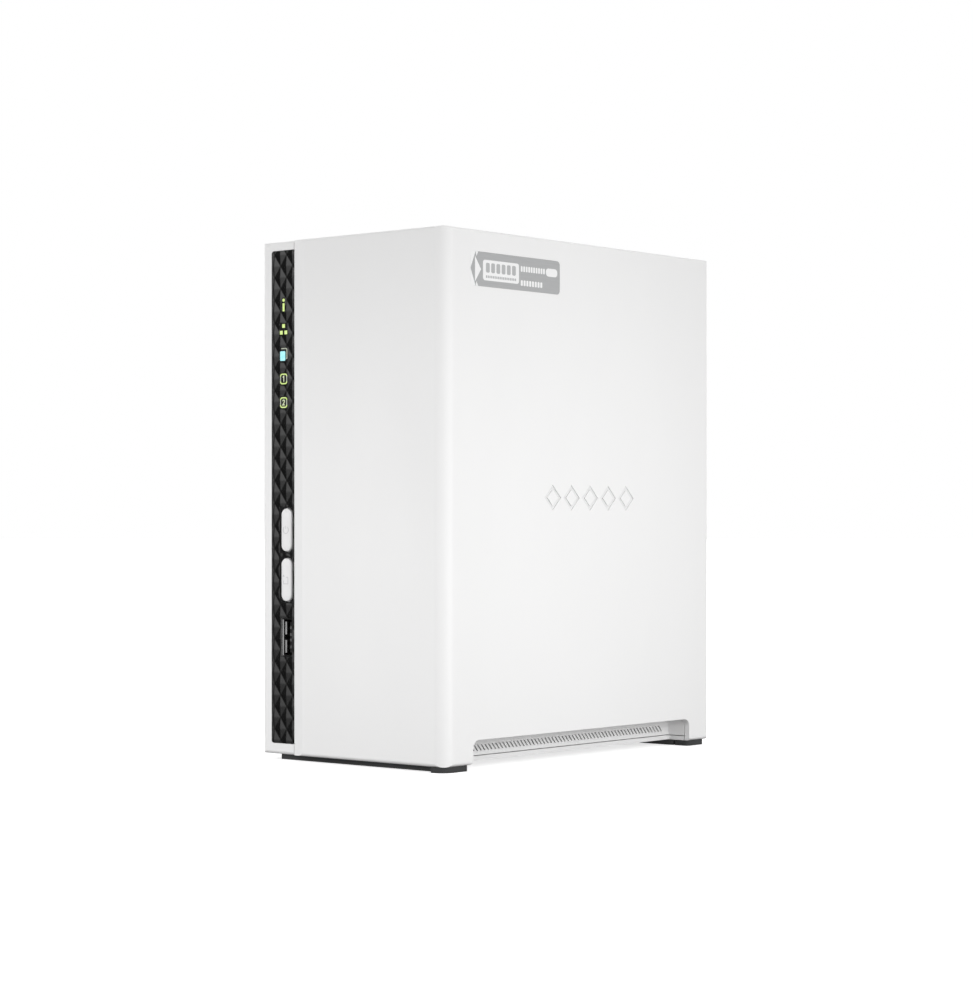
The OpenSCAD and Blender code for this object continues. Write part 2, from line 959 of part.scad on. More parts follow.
module vent_frame() {
    side = [wall + bite, cover_in - slack];
    bottom = plate_top + seam_gap;
    top = shelf_z + bite;
    color(WHITE)
        from_corner()
            difference() {
                union() {
                    slotted_wall(vent_inset);
                    slotted_wall(vent_right - vent_t);
                    // returns that close the plinth beside each pillar
                    for (y = [notch_front - vent_t, notch_end]) {
                        block([side[0], y, bottom], [vent_inset + vent_t, y + vent_t, top]);
                        block([vent_right - vent_t, y, bottom], [side[1], y + vent_t, top]);
                    }
                    // front and rear walls under the shelf
                    block([side[0] + inner_r, plinth_y, bottom],
                        [side[1] - inner_r, plinth_y + vent_t, top]);
                    block([side[0], panel_y - vent_t, bottom], [side[1], panel_y, top]);
                    translate([0, 0, shelf_z])
                        linear_extrude(shelf_t)
                            round_rect([side[0], plinth_y], [side[1] - side[0], panel_y - plinth_y], inner_r);
                    for (x = base_screw_x, y = base_screw_y)
                        translate([x, y, plate_top])
                            cylinder(h = top - plate_top, r = base_post_r);
                }
                for (x = base_screw_x, y = base_screw_y)
                    translate([x, y, plate_top - past])
                        cylinder(h = base_screw_l, r = screw_hole_r);
                // air passages up to the drives
                for (x = drive_x, y = [22, 106])
                    translate([0, 0, shelf_z - past])
                        linear_extrude(shelf_t + 2 * past)
                            round_rect([x + 3, y], [drive_t - 6, 8], 2);
                for (x = cage_foot_x, y = cage_foot_y)
                    translate([x + cage_foot_w - cage_screw_in, y + cage_leg_d / 2, shelf_z - past])
                        cylinder(h = shelf_t + 2 * past, r = screw_r);
            }
}

module base_plate() {
    color(WHITE)
        from_corner()
            translate([0, 0, foot_h])
                linear_extrude(plate_t)
                    difference() {
                        round_rect([wall + bite, plinth_y],
                            [cover_in - wall - slack - bite, panel_back - plinth_y], 3);
                        for (x = [-past, vent_right])
                            round_rect([x, notch_front], [vent_inset + past, notch_end - notch_front], 1);
                        for (x = base_screw_x, y = base_screw_y)
                            translate([x, y])
                                circle(screw_free_r);
                        // air slots underneath
                        for (i = [0:9])
                            round_rect([body_w / 2 + (i - 4.5) * 2 * under_slot[0] - under_slot[0] / 2, 50],
                                under_slot, 1.1);
                    }
}

module front_foot() {
    color(RUBBER)
        from_corner()
            linear_extrude(foot_h)
                round_rect([bar_x, plinth_y + bite], [body_w - 2 * bar_x, bar_w], 1);
}

module rear_foot() {
    color(RUBBER)
        from_corner()
            linear_extrude(foot_h)
                round_rect([bar_x, panel_back - bar_w], [body_w - 2 * bar_x, bar_w - 0.5], 1);
}

// Rear

// Honeycomb of air holes over the fan
module honeycomb(r) {
    row = comb_pitch * cos(30);
    rows = ceil(r / row);
    for (j = [-rows:rows], i = [-rows:rows]) {
        p = [(i + (j % 2) / 2) * comb_pitch, j * row];
        if (norm(p) < r - comb_pitch / 2 && norm(p) > 0)
            translate(p)
                rotate(30)
                    circle(r = comb_r, $fn = 6);
    }
}

module rear_panel() {
    color(WHITE)
        from_corner()
            from_front(panel_y, panel_t)
                difference() {
                    round_rect([wall + bite, plate_top + bite],
                        [cover_in - wall - slack - bite, roof_in - plate_top - slack - bite], 1);
                    translate([fan_x, fan_z])
                        honeycomb(fan_w / 2);
                    for (x = [-1, 1], z = [-1, 1])
                        translate([fan_x + x * fan_hole, fan_z + z * fan_hole])
                            circle(fan_screw_hole_r + snug);
                    for (z = thumb_z)
                        translate([thumb_x, z])
                            circle(thumb_shank_r + slack);
                    for (z = panel_screw_z)
                        translate([panel_screw_x, z])
                            circle(screw_hole_r + bite);
                    for (z = rear_usb_z)
                        usb_mouth(z, snug);
                    translate([board_x, jack_z - jack_h / 2 - snug])
                        square([jack_w + 2 * snug, jack_h + 2 * snug]);
                    translate([board_x, power_jack_z - power_jack_h / 2 - snug])
                        square([power_jack_w + 2 * snug, power_jack_h + 2 * snug]);
                    translate([reset_x, reset_z])
                        circle(1.2);
                    centred_rect([lock_x, lock_z], lock_size, 1);
                    // lower air slots
                    for (i = [0:7])
                        round_rect([44 + i * 2 * lower_slot[0], 36], lower_slot, 1);
                }
}

module lock_plate() {
    color(STEEL)
        from_corner()
            from_front(panel_y - lock_plate_t, lock_plate_t)
                difference() {
                    centred_rect([lock_x, lock_z], [13, 10], 1);
                    centred_rect([lock_x, lock_z], lock_size, 1);
                }
}

// One upright wall of the drive cage, with windows and screw holes
module cage_wall(x) {
    window = [14, 15];
    step = 18;
    from_left(x, sheet_t)
        difference() {
            translate([cage_front, cage_low + sheet_t])
                square([cage_back - cage_front, cage_high - cage_low - sheet_t]);
            for (i = [0:3], z = [60, 84, 108, 128])
                round_rect([cage_front + (i + 1) * step, z], window, 3);
            for (y = drive_screw_y, z = drive_screw_z)
                translate([y, z])
                    circle(drive_screw_r + slack);
        }
}

module drive_cage() {
    color(STEEL)
        from_corner()
            for (i = [0:2])
                cage_wall(cage_x + i * bay_pitch);
}

// Leg and foot of the cage, with a hole for its screw
module cage_leg(x, y) {
    block([x, y, shelf_top], [x + sheet_t, y + cage_leg_d, cage_low + sheet_t / 2]);
    difference() {
        block([x, y, shelf_top], [x + cage_foot_w, y + cage_leg_d, shelf_top + sheet_t]);
        translate([x + cage_foot_w - cage_screw_in, y + cage_leg_d / 2, shelf_top - past])
            cylinder(h = sheet_t + 2 * past, r = screw_hole_r + bite);
    }
}

// Straps that tie the cage's walls: two below with legs, and two across the rear, below
// and above the fan's air path
module cage_straps() {
    ties = [[32, 44], [cage_high - 12, cage_high]];
    color(STEEL)
        from_corner() {
            for (y = cage_foot_y)
                block([cage_x, y, cage_low], [cage_right, y + cage_leg_d, cage_low + sheet_t]);
            for (x = cage_foot_x, y = cage_foot_y)
                cage_leg(x, y);
            for (z = ties)
                block([cage_x, cage_back, z[0]], [cage_right, cage_back + sheet_t, z[1]]);
        }
}

// Cast body of a drive: board side at the left, lid side at the right, socket pocket below
module drive_casting(x) {
    pocket = drive_z + 4.4;
    arm_well = [drive_y + 6, drive_z + 18];
    difference() {
        from_left(x + drive_board_t + bite, drive_t - drive_board_t - lid_t - bite)
            round_rect([drive_y, drive_z], [drive_w, drive_l], 2.5);
        block([x, socket_y - 0.4, drive_z - past],
            [x + socket_in + socket_w + 0.3, socket_y + socket_l + 0.4, pocket]);
        // well for the platters, and for the arm beside them
        cross_rod(disc_y, disc_z, x + well_x, x + drive_t, well_r);
        block([x + well_x, arm_well[0], arm_well[1]], [x + drive_t, arm_well[0] + 56, arm_well[1] + 44]);
        for (z = [drive_z + 16, drive_z + drive_l - 16])
            for (y = [drive_y - past, drive_y + drive_w - 4])
                rod(x + drive_t / 2, z, y, y + 5, 1.4);
    }
}

// Thin stamped lid with a raised disc over the platters
module drive_lid(x) {
    lid_x = x + drive_t - lid_t;
    from_left(lid_x, lid_t - 0.3)
        round_rect([drive_y + 1, drive_z + 5], [drive_w - 2, drive_l - 6], 6);
    cross_rod(disc_y, disc_z, lid_x, x + drive_t, lid_disc_r);
}

// Spindle with its platters
module platter_stack(x) {
    cross_rod(disc_y, disc_z, x + well_x, x + drive_t - lid_t - slack, spindle_r);
    for (i = [0:2])
        translate([x + well_x + 3 + i * disc_gap, 0, 0])
            cross_rod(disc_y, disc_z, 0, disc_t, disc_r);
}

module drive_platters() {
    color(STEEL)
        from_corner()
            for (x = drive_x)
                platter_stack(x);
}

module drive_circuit(x) {
    from_left(x, drive_board_t)
        round_rect([drive_y + 8, drive_z + 10], [drive_w - 16, 68], 3);
}

module drive_1_body() {
    color("#8d9194")
        from_corner()
            drive_casting(drive_x[0]);
}

module drive_1_lid() {
    color(STEEL)
        from_corner()
            drive_lid(drive_x[0]);
}

module drive_1_board() {
    color(BOARD)
        from_corner()
            drive_circuit(drive_x[0]);
}

module drive_2_body() {
    color("#8d9194")
        from_corner()
            drive_casting(drive_x[1]);
}

module drive_2_lid() {
    color(STEEL)
        from_corner()
            drive_lid(drive_x[1]);
}

module drive_2_board() {
    color(BOARD)
        from_corner()
            drive_circuit(drive_x[1]);
}

// Pull handle across the top of each drive: a strap with a raised grip
module drive_handles() {
    top = drive_z + drive_l;
    in = 5;
    end = 18;
    strap = [8, 2];
    grip_h = 9;
    color("#2a6f97")
        from_corner()
            for (x = drive_x)
                from_left(x + in, drive_t - 2 * in)
                    difference() {
                        round_rect([drive_y + end, top], [drive_w - 2 * end, grip_h], 2);
                        round_rect([drive_y + end + strap[0], top + strap[1]],
                            [drive_w - 2 * (end + strap[0]), grip_h - 2 * strap[1]], 1.5);
                    }
}

// Screws from the outer cage walls into the drives
module drive_screws() {
    color(STEEL)
        from_corner()
            for (y = drive_screw_y, z = drive_screw_z) {
                cross_rod(y, z, cage_x - drive_head_t, cage_x, drive_head_r);
                cross_rod(y, z, cage_x - bite, drive_x[0] + drive_board_t, drive_screw_r);
                cross_rod(y, z, cage_right, cage_right + drive_head_t, drive_head_r);
                cross_rod(y, z, drive_x[1] + drive_t - slack, cage_right + bite, drive_screw_r);
            }
}

// Fan

module fan_frame() {
    color(BLACK)
        from_corner()
            difference() {
                union() {
                    from_front(fan_y, fan_t)
                        difference() {
                            centred_rect([fan_x, fan_z], [fan_w, fan_w], 3);
                            translate([fan_x, fan_z])
                                circle(fan_r);
                        }
                    // hub plate on three arms at the rear, with the bearing post
                    from_front(panel_y - 2, 2)
                        translate([fan_x, fan_z]) {
                            circle(fan_hub_r);
                            for (a = [90, 210, 330])
                                rotate(a)
                                    translate([0, -1.5])
                                        square([fan_r + 0.5, 3]);
                        }
                    rod(fan_x, fan_z, fan_y + 5, panel_y - 1, fan_post_r);
                }
                for (x = [-1, 1], z = [-1, 1])
                    rod(fan_x + x * fan_hole, fan_z + z * fan_hole, fan_y - past, panel_y + past,
                        fan_screw_hole_r);
                rod(fan_x, fan_z, fan_y, panel_y - 1, fan_shaft_r + snug);
            }
}

module fan_coils() {
    color("#b5651d")
        from_corner()
            from_front(fan_y + 6, 6)
                translate([fan_x, fan_z])
                    difference() {
                        circle(10);
                        circle(fan_post_r + snug);
                        for (a = [45:90:315])
                            rotate(a)
                                translate([6, -0.8])
                                    square([5, 1.6]);
                    }
}

module fan_rotor() {
    hub_y = fan_y + 2;
    hub_skin = 1.6;
    tip_r = fan_r - 0.9;
    color(BLACK)
        from_corner()
            union() {
                difference() {
                    rod(fan_x, fan_z, hub_y, fan_y + 12.4, fan_hub_r - 0.5);
                    rod(fan_x, fan_z, hub_y + hub_skin, fan_y + 13, fan_hub_r - 1.8);
                }
                rod(fan_x, fan_z, hub_y + hub_skin - bite, panel_y - 1.6, fan_shaft_r);
                intersection() {
                    difference() {
                        rod(fan_x, fan_z, hub_y + 0.4, fan_y + 12, tip_r);
                        rod(fan_x, fan_z, hub_y, fan_y + 13, fan_hub_r - 1);
                    }
                    for (i = [0:blades - 1])
                        translate([fan_x, fan_y + 7.2, fan_z])
                            rotate([0, i * 360 / blades, 0])
                                rotate([0, 0, blade_pitch])
                                    translate([-blade_chord / 2, -blade_t / 2, 0])
                                        cube([blade_chord, blade_t, fan_r + past]);
                }
            }
}

module fan_screws() {
    color(STEEL)
        from_corner()
            for (x = [-1, 1], z = [-1, 1]) {
                rod(fan_x + x * fan_hole, fan_z + z * fan_hole, panel_back, panel_back + fan_head_t,
                    fan_head_r);
                rod(fan_x + x * fan_hole, fan_z + z * fan_hole, fan_y + 2, panel_back + bite, fan_screw_r);
            }
}

// Flat lead from the fan to a plug on the mainboard
module fan_lead() {
    lead_y = panel_y - 9;
    lead = [1.2, 3];
    plug = [6, 7, 8];
    plug_z = 124;
    color("#303030")
        from_corner() {
            block([board_x, lead_y - 3, plug_z], [board_x, lead_y - 3, plug_z] + plug);
            block([board_x + plug[0] - bite, lead_y, plug_z + lead[1]],
                [fan_x - fan_w / 2, lead_y + lead[0], plug_z + 2 * lead[1]]);
        }
}

// Screw along x, with its head towards the right
module board_screw(y, z) {
    cross_rod(y, z, board_screw_x, board_x + bite, screw_r);
    cross_rod(y, z, board_x, board_x + screw_head_t, screw_head_r);
}

// Screws that hold the boards, the rear panel, the cage and the base plate
module chassis_screws() {
    color(STEEL)
        from_corner() {
            for (y = board_screw_y, z = board_screw_z)
                board_screw(y, z);
            for (z = lamp_screw_z) {
                rod(lamp_screw_x, z, lamp_screw_y, lamp_board_back + bite, small_screw_r);
                rod(lamp_screw_x, z, lamp_board_back, lamp_board_back + small_head_t, small_head_r);
            }
            for (z = panel_screw_z) {
                rod(panel_screw_x, z, panel_screw_y, panel_back + bite, screw_r);
                rod(panel_screw_x, z, panel_back, panel_back + screw_head_t, screw_head_r);
            }
            for (x = cage_foot_x, y = cage_foot_y)
                translate([x + cage_foot_w - cage_screw_in, y + cage_leg_d / 2, shelf_z]) {
                    cylinder(h = shelf_t + sheet_t + bite, r = screw_r - snug);
                    translate([0, 0, shelf_t + sheet_t])
                        cylinder(h = flat_head_t, r = flat_head_r);
                }
            for (x = base_screw_x, y = base_screw_y)
                translate([x, y, foot_h - past]) {
                    cylinder(h = past, r = screw_head_r - bite);
                    cylinder(h = base_screw_l, r = screw_r);
                }
        }
}

// Thumbscrews

module thumbscrew(z) {
    grooves = 20;
    groove_r = 0.35;
    cross_depth = 0.9;
    head = panel_back + snug;
    difference() {
        union() {
            rod(thumb_x, z, head, head + thumb_head_t, thumb_r);
            rod(thumb_x, z, boss_y + past, head + bite, thumb_shank_r);
        }
        for (i = [0:grooves - 1])
            rotate_about(thumb_x, z, i * 360 / grooves)
                rod(thumb_x + thumb_r, z, head - past, head + thumb_head_t + past, groove_r);
        // cross slot
        for (half = [[0.5, 2.6], [2.6, 0.5]])
            block([thumb_x - half[0], head + thumb_head_t - cross_depth, z - half[1]],
                [thumb_x + half[0], head + thumb_head_t + past, z + half[1]]);
    }
}

module rotate_about(x, z, a) {
    translate([x, 0, z])
        rotate([0, a, 0])
            translate([-x, 0, -z])
                children();
}

module upper_thumbscrew() {
    color(STEEL)
        from_corner()
            thumbscrew(thumb_z[1]);
}

module lower_thumbscrew() {
    color(STEEL)
        from_corner()
            thumbscrew(thumb_z[0]);
}

left_shell();
front_strip();
status_light();
network_light();
usb_light();
drive_1_light();
drive_2_light();
lamp_board();
lamps();
power_switch();
copy_switch();
power_button();
copy_button();
front_usb_shell();
front_usb_tongue();
mainboard();
heatsink();
memory_chips();
coin_cell();
coin_cell_holder();
board_link();
rear_usb_shells();
rear_usb_tongues();
network_jack();
network_contacts();
power_jack();
power_pin();
reset_switch();
reset_button();
backplane();
sata_sockets();
vent_frame();
base_plate();
front_foot();
rear_foot();
rear_panel();
lock_plate();
drive_cage();
cage_straps();
drive_1_body();
drive_1_lid();
drive_1_board();
drive_2_body();
drive_2_lid();
drive_2_board();
drive_platters();
drive_handles();
drive_screws();
fan_frame();
fan_coils();
fan_rotor();
fan_screws();
fan_lead();
chassis_screws();
upper_thumbscrew();
lower_thumbscrew();
slide_cover();
spec_label();
cover_feet();
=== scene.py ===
# %% [markdown]
# # A two-bay network storage box
# The box is a moulded white body with a black lamp column. Its frame comes from the CAD
# model: every shell, board, drive and screw is a node in its place. This lesson puts finishes
# on those nodes and makes the fine surfaces that the CAD model leaves plain.

# %% Load the frame
import json
import math

import bmesh
import bpy
import numpy as np
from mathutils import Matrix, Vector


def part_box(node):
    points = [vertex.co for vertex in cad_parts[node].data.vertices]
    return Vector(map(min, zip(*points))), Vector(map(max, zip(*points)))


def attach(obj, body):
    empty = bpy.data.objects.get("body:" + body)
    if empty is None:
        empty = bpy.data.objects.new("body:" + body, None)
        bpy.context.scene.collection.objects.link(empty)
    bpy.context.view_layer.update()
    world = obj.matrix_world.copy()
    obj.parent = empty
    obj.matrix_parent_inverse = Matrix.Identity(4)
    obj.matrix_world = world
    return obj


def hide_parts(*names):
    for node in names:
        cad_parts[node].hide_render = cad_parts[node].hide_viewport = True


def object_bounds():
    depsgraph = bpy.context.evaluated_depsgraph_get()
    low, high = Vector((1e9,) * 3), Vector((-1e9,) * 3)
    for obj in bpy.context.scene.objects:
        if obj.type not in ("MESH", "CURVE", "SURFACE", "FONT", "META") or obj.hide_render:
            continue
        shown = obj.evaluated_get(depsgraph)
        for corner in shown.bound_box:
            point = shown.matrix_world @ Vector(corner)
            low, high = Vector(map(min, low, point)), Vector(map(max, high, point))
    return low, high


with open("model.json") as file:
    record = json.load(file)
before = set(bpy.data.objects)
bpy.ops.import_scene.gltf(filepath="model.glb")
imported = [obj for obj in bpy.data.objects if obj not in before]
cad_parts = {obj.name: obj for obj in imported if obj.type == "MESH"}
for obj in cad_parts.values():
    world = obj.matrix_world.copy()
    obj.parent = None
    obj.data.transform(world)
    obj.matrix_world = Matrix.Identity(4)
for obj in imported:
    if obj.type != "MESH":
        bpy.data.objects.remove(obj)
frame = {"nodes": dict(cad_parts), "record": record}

CAD_BOX = [list(corner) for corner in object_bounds()]
MM = 0.001
LOW, HIGH = (np.array(corner) / MM for corner in CAD_BOX)
ORIGIN = np.array([LOW[0], LOW[1], 0.0])


def box_mm(node):
    """Lowest and highest corner of a CAD node, in millimetres from the front left foot."""
    low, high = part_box(node)
    return np.array(low) / MM - ORIGIN, np.array(high) / MM - ORIGIN


WIDTH, DEPTH, HEIGHT = HIGH - LOW
print("body", np.round([WIDTH, DEPTH, HEIGHT], 2), "mm,", len(frame["nodes"]), "nodes")

# %% [markdown]
# ## Shader maths as Python
# A material is a sheet of nodes. Writing it as expressions keeps it short: a Value wraps one
# output socket, and adding or multiplying it adds the Math node that does so.

# %% Value: one socket that can be added and multiplied


class Value:
    """One output socket of a finish. Arithmetic on it adds Math nodes to the same sheet."""

    def __init__(self, finish, socket):
        self.finish, self.socket = finish, socket

    def math(self, operation, *terms):
        return self.finish.node("ShaderNodeMath", {"operation": operation}, dict(enumerate(terms)))

    def __add__(self, other):
        return self.math("ADD", self, other)

    def __sub__(self, other):
        return self.math("SUBTRACT", self, other)

    def __rsub__(self, other):
        return self.math("SUBTRACT", other, self)

    def __mul__(self, other):
        return self.math("MULTIPLY", self, other)

    def __truediv__(self, other):
        return self.math("DIVIDE", self, other)

    def __gt__(self, other):
        return self.math("GREATER_THAN", self, other)

    def __lt__(self, other):
        return self.math("LESS_THAN", self, other)

    def __abs__(self):
        return self.math("ABSOLUTE", self)

    __radd__, __rmul__ = __add__, __mul__


# %% Finish: one material, built from nodes


class Finish:
    """A Principled surface. Constants go on its sockets, and node() makes any other node."""

    def __init__(self, name, **constants):
        self.material = bpy.data.materials.new(name)
        self.material.use_nodes = True
        self.tree = self.material.node_tree
        self.surface = self.tree.nodes["Principled BSDF"]
        self.put(**constants)
        here = self.node("ShaderNodeTexCoord", {}, {}, "Object")
        self.place = self.node("ShaderNodeVectorMath", {"operation": "SCALE"}, {0: here, "Scale": 1 / MM})
        axes = self.node("ShaderNodeSeparateXYZ", {}, {0: self.place})
        self.x, self.y, self.z = (Value(self, out) for out in axes.socket.node.outputs)

    def node(self, kind, settings, sockets, output=0):
        """Adds a node: its settings first, then a number, colour or link for each socket."""
        made = self.tree.nodes.new(kind)
        for key, value in settings.items():
            setattr(made, key, value)
        for key, value in sockets.items():
            if isinstance(value, Value):
                self.tree.links.new(value.socket, made.inputs[key])
            else:
                made.inputs[key].default_value = value
        return Value(self, made.outputs[output])

    def put(self, **sockets):
        """Sets or links the surface's own sockets; an underscore stands for a space."""
        for key, value in sockets.items():
            socket = self.surface.inputs[key.replace("_", " ")]
            if isinstance(value, Value):
                self.tree.links.new(value.socket, socket)
            else:
                socket.default_value = value
        return self

    def noise(self, scale, detail=2.0, stretch=(1, 1, 1), roughness=0.5):
        """Cloudy pattern with `scale` lumps per millimetre, drawn out along an axis by stretch."""
        place = self.node("ShaderNodeMapping", {}, {"Vector": self.place, "Scale": stretch})
        return self.node("ShaderNodeTexNoise", {}, {
            "Vector": place, "Scale": scale, "Detail": detail, "Roughness": roughness})

    def cells(self, scale, feature="F1", distance="EUCLIDEAN", randomness=1.0, output="Distance"):
        """Voronoi cells, `scale` of them per millimetre."""
        settings = {"feature": feature}
        if feature != "DISTANCE_TO_EDGE":
            settings["distance"] = distance
        return self.node("ShaderNodeTexVoronoi", settings, {
            "Vector": self.place, "Scale": scale, "Randomness": randomness}, output)

    def spread(self, value, low, high, start=0.0, end=1.0):
        """Value carried from low..high to start..end, and held there."""
        return self.node("ShaderNodeMapRange", {}, {
            0: value, "From Min": low, "From Max": high, "To Min": start, "To Max": end})

    def blend(self, share, first, second):
        """Colour that goes from first to second as share goes from 0 to 1."""
        return self.node("ShaderNodeMix", {"data_type": "RGBA"}, {0: share, 6: first, 7: second}, 2)

    def bump(self, height, depth, strength=1.0):
        """Normals of a surface raised by height, 0 to 1, times depth in millimetres."""
        return self.node("ShaderNodeBump", {}, {
            "Height": height, "Distance": depth * MM, "Strength": strength})


def grey(level, warm=0.0):
    """A linear grey as a colour; warm tips it towards yellow, and below zero towards blue."""
    return (level * (1 + warm), level, level * (1 - warm), 1)


# %% [markdown]
# ## The camera
# The box is seen from its front right, level, from under a metre away. The lens is long, so
# its edges run nearly parallel. A small upward shift of the picture keeps the uprights
# upright, as a product photographer does with a shift lens.

# %% Camera
camera = bpy.data.objects.new("camera", bpy.data.cameras.new("camera"))
bpy.context.scene.collection.objects.link(camera)
camera.data.lens, camera.data.sensor_width = 91.3, 36
camera.data.shift_y = 0.0221
camera.data.clip_start, camera.data.clip_end = 0.05, 30
camera.location = (0.6182, -0.7337, 0.0865)
camera.rotation_euler = (math.pi / 2, 0, math.radians(40.21))
bpy.context.scene.camera = camera
print("camera", tuple(round(v, 3) for v in camera.location))

# %% [markdown]
# ## Studio light
# A white box on a white floor needs light from everywhere, and something dark to reflect or
# its black parts turn grey. The world is a bright tent with one dark card at the front left,
# which only reflections see. Four softboxes, three of them close, even out the two faces. The
# card leaves the left-hand faces of the strip's diamonds black, while their right-hand
# faces mirror the tent.

# %% World
CARD_AZIMUTH = math.radians(-57)
ABOVE, BELOW = 0.675, 0.225
MIRRORED = 2.0
CARD_STRETCH, CARD_EDGE, CARD_DARK = (1, 1, 0.25), (0.916, 0.98), 0.97
world = bpy.data.worlds.new("tent")
bpy.context.scene.world = world
world.use_nodes = True
sheet = Finish.__new__(Finish)
sheet.tree = world.node_tree
direction = sheet.node("ShaderNodeTexCoord", {}, {}, "Generated")
card_side = (math.sin(CARD_AZIMUTH), -math.cos(CARD_AZIMUTH), 0)
lowered = sheet.node("ShaderNodeVectorMath", {"operation": "MULTIPLY"}, {0: direction, 1: CARD_STRETCH})
lowered = sheet.node("ShaderNodeVectorMath", {"operation": "NORMALIZE"}, {0: lowered})
dot = {"operation": "DOT_PRODUCT"}
towards_card = sheet.node("ShaderNodeVectorMath", dot, {0: lowered, 1: card_side}, 1)
upward = sheet.node("ShaderNodeVectorMath", dot, {0: direction, 1: (0, 0, 1)}, 1)
card = sheet.spread(towards_card, *CARD_EDGE)
tent = sheet.spread(upward, -0.6, 0.6, BELOW, ABOVE)
seen = sheet.node("ShaderNodeLightPath", {}, {}, "Is Camera Ray")
shine = sheet.node("ShaderNodeLightPath", {}, {}, "Is Glossy Ray")
mirrored = sheet.spread(upward, -0.25, 0.25, 0.4 * MIRRORED, 1.1 * MIRRORED)
strength = seen + (1 - seen) * tent * (1 + shine * (mirrored * (1 - CARD_DARK * card) - 1))
background = world.node_tree.nodes["Background"]
background.inputs["Color"].default_value = (1, 1, 1, 1)
world.node_tree.links.new(strength.socket, background.inputs["Strength"])

# %% Softboxes


def softbox(name, place, size, power):
    """Square area light at place, in metres, that faces the middle of the box."""
    light = bpy.data.lights.new(name, "AREA")
    light.size, light.energy = size, power
    lamp = bpy.data.objects.new(name, light)
    bpy.context.scene.collection.objects.link(lamp)
    lamp.location = place
    aim = np.array([0, 0, 0.09]) - np.array(place)
    lamp.rotation_euler = Vector(aim).to_track_quat("-Z", "Y").to_euler()
    lamp.visible_camera = lamp.visible_glossy = False
    return lamp


softbox("front_box", (0.095, -0.30, 0.055), 0.2, 0.27)
softbox("left_box", (-0.30, -0.36, 0.06), 0.25, 0.84)
softbox("side_box", (0.325, 0.0, 0.065), 0.25, 0.735)
softbox("back_light", (-0.9, 1.4, 1.2), 1.0, 9.0)
bpy.context.scene.view_settings.view_transform = "Standard"

# %% [markdown]
# The floor is pale paper that is lit a little from within, so that it stays white under the
# box. Mirror-like rays look through it: satin plastic then shows the dark card whole.

# %% Floor
FLOOR_R = 12.0
turns = np.linspace(0, 2 * np.pi, 65)[:-1]
disc = np.stack([FLOOR_R * np.cos(turns), FLOOR_R * np.sin(turns), 0 * turns - 0.00005], 1)
floor_mesh = bpy.data.meshes.new("floor")
floor_mesh.from_pydata(disc.tolist(), [], [list(range(len(turns)))])
floor = bpy.data.objects.new("floor", floor_mesh)
bpy.context.scene.collection.objects.link(floor)
paper = Finish("paper", Roughness=0.9, Emission_Color=(1, 1, 1, 1), Emission_Strength=0.6)
tooth = paper.noise(1.5, 3)
paper.put(Base_Color=paper.blend(tooth, grey(0.78), grey(0.84)), Normal=paper.bump(tooth, 0.05))
floor_mesh.materials.append(paper.material)
floor.visible_glossy = floor.visible_diffuse = False

# %% [markdown]
# ## Moulded plastics
# The body is injection-moulded in white, from a mould with a fine spark-eroded texture. Up
# close that is a grain of about a third of a millimetre, with a satin shine that varies a
# little where the plastic flowed. The black strip and the buttons come from smoother moulds.

# %% Moulded plastic


def moulded(name, colour, shine, grain, depth, flow=0.03, **constants):
    """Plastic with a spark-eroded grain: lumps per mm, depth in mm, and a slight flow mark."""
    made = Finish(name, **constants)
    lumps = made.noise(grain, 3, roughness=0.6)
    clouds = made.noise(0.03, 2, (1, 1, 0.4))
    darker = tuple(c * (1 - flow) for c in colour[:3]) + (1,)
    made.put(
        Base_Color=made.blend(made.spread(clouds, 0.35, 0.65), darker, colour),
        Roughness=made.spread(clouds + lumps * 0.5, 0.5, 1.0, shine + 0.05, shine - 0.05),
        Normal=made.bump(lumps, depth),
    )
    return made


finishes = {
    "shell_white": moulded("shell_white", grey(0.835, 0.002), 0.42, 3.0, 0.006, 0.015),
    "button_white": moulded("button_white", grey(0.80), 0.3, 1.2, 0.003, 0.02),
    "strip_black": moulded("strip_black", grey(0.0075), 0.19, 4.0, 0.0015, 0.15, Specular_IOR_Level=0.95),
    "insert_black": moulded("insert_black", grey(0.012), 0.45, 2.0, 0.008, 0.2),
    "fan_black": moulded("fan_black", grey(0.016), 0.4, 2.0, 0.008, 0.2),
    "chip_black": moulded("chip_black", grey(0.018), 0.55, 6.0, 0.01, 0.25),
    "handle_blue": moulded("handle_blue", (0.02, 0.12, 0.26, 1), 0.35, 2.0, 0.006, 0.2),
    "reset_yellow": moulded("reset_yellow", (0.62, 0.42, 0.04, 1), 0.35, 3.0, 0.004, 0.15),
    "rubber_black": moulded("rubber_black", grey(0.045, -0.02), 0.82, 2.2, 0.03, 0.3),
    "lamp_white": moulded("lamp_white", (0.8, 0.78, 0.6, 1), 0.15, 1.0, 0.002, 0.1),
}
print(len(finishes), "plastics")

# %% [markdown]
# ## Metals
# Sockets are folded from tinned strip, the cage from galvanised sheet, and screws are turned
# and plated. What tells them apart is the direction and size of their marks: rolling lines
# along a strip, crystals on zinc, fine rings on a turned head.

# %% Metals


def metal(name, colour, shine, marks, depth=0.004, dirt=0.25):
    """Bare metal whose fine marks are a pattern function of the finish."""
    made = Finish(name, Metallic=1.0)
    lines = marks(made)
    stains = made.noise(0.12, 3)
    dull = tuple(c * (1 - dirt) for c in colour[:3]) + (1,)
    made.put(
        Base_Color=made.blend(made.spread(stains + lines * 0.6, 0.5, 1.1), dull, colour),
        Roughness=made.spread(lines + stains * 0.4, 0.3, 1.1, shine - 0.08, shine + 0.12),
        Normal=made.bump(lines, depth),
    )
    return made


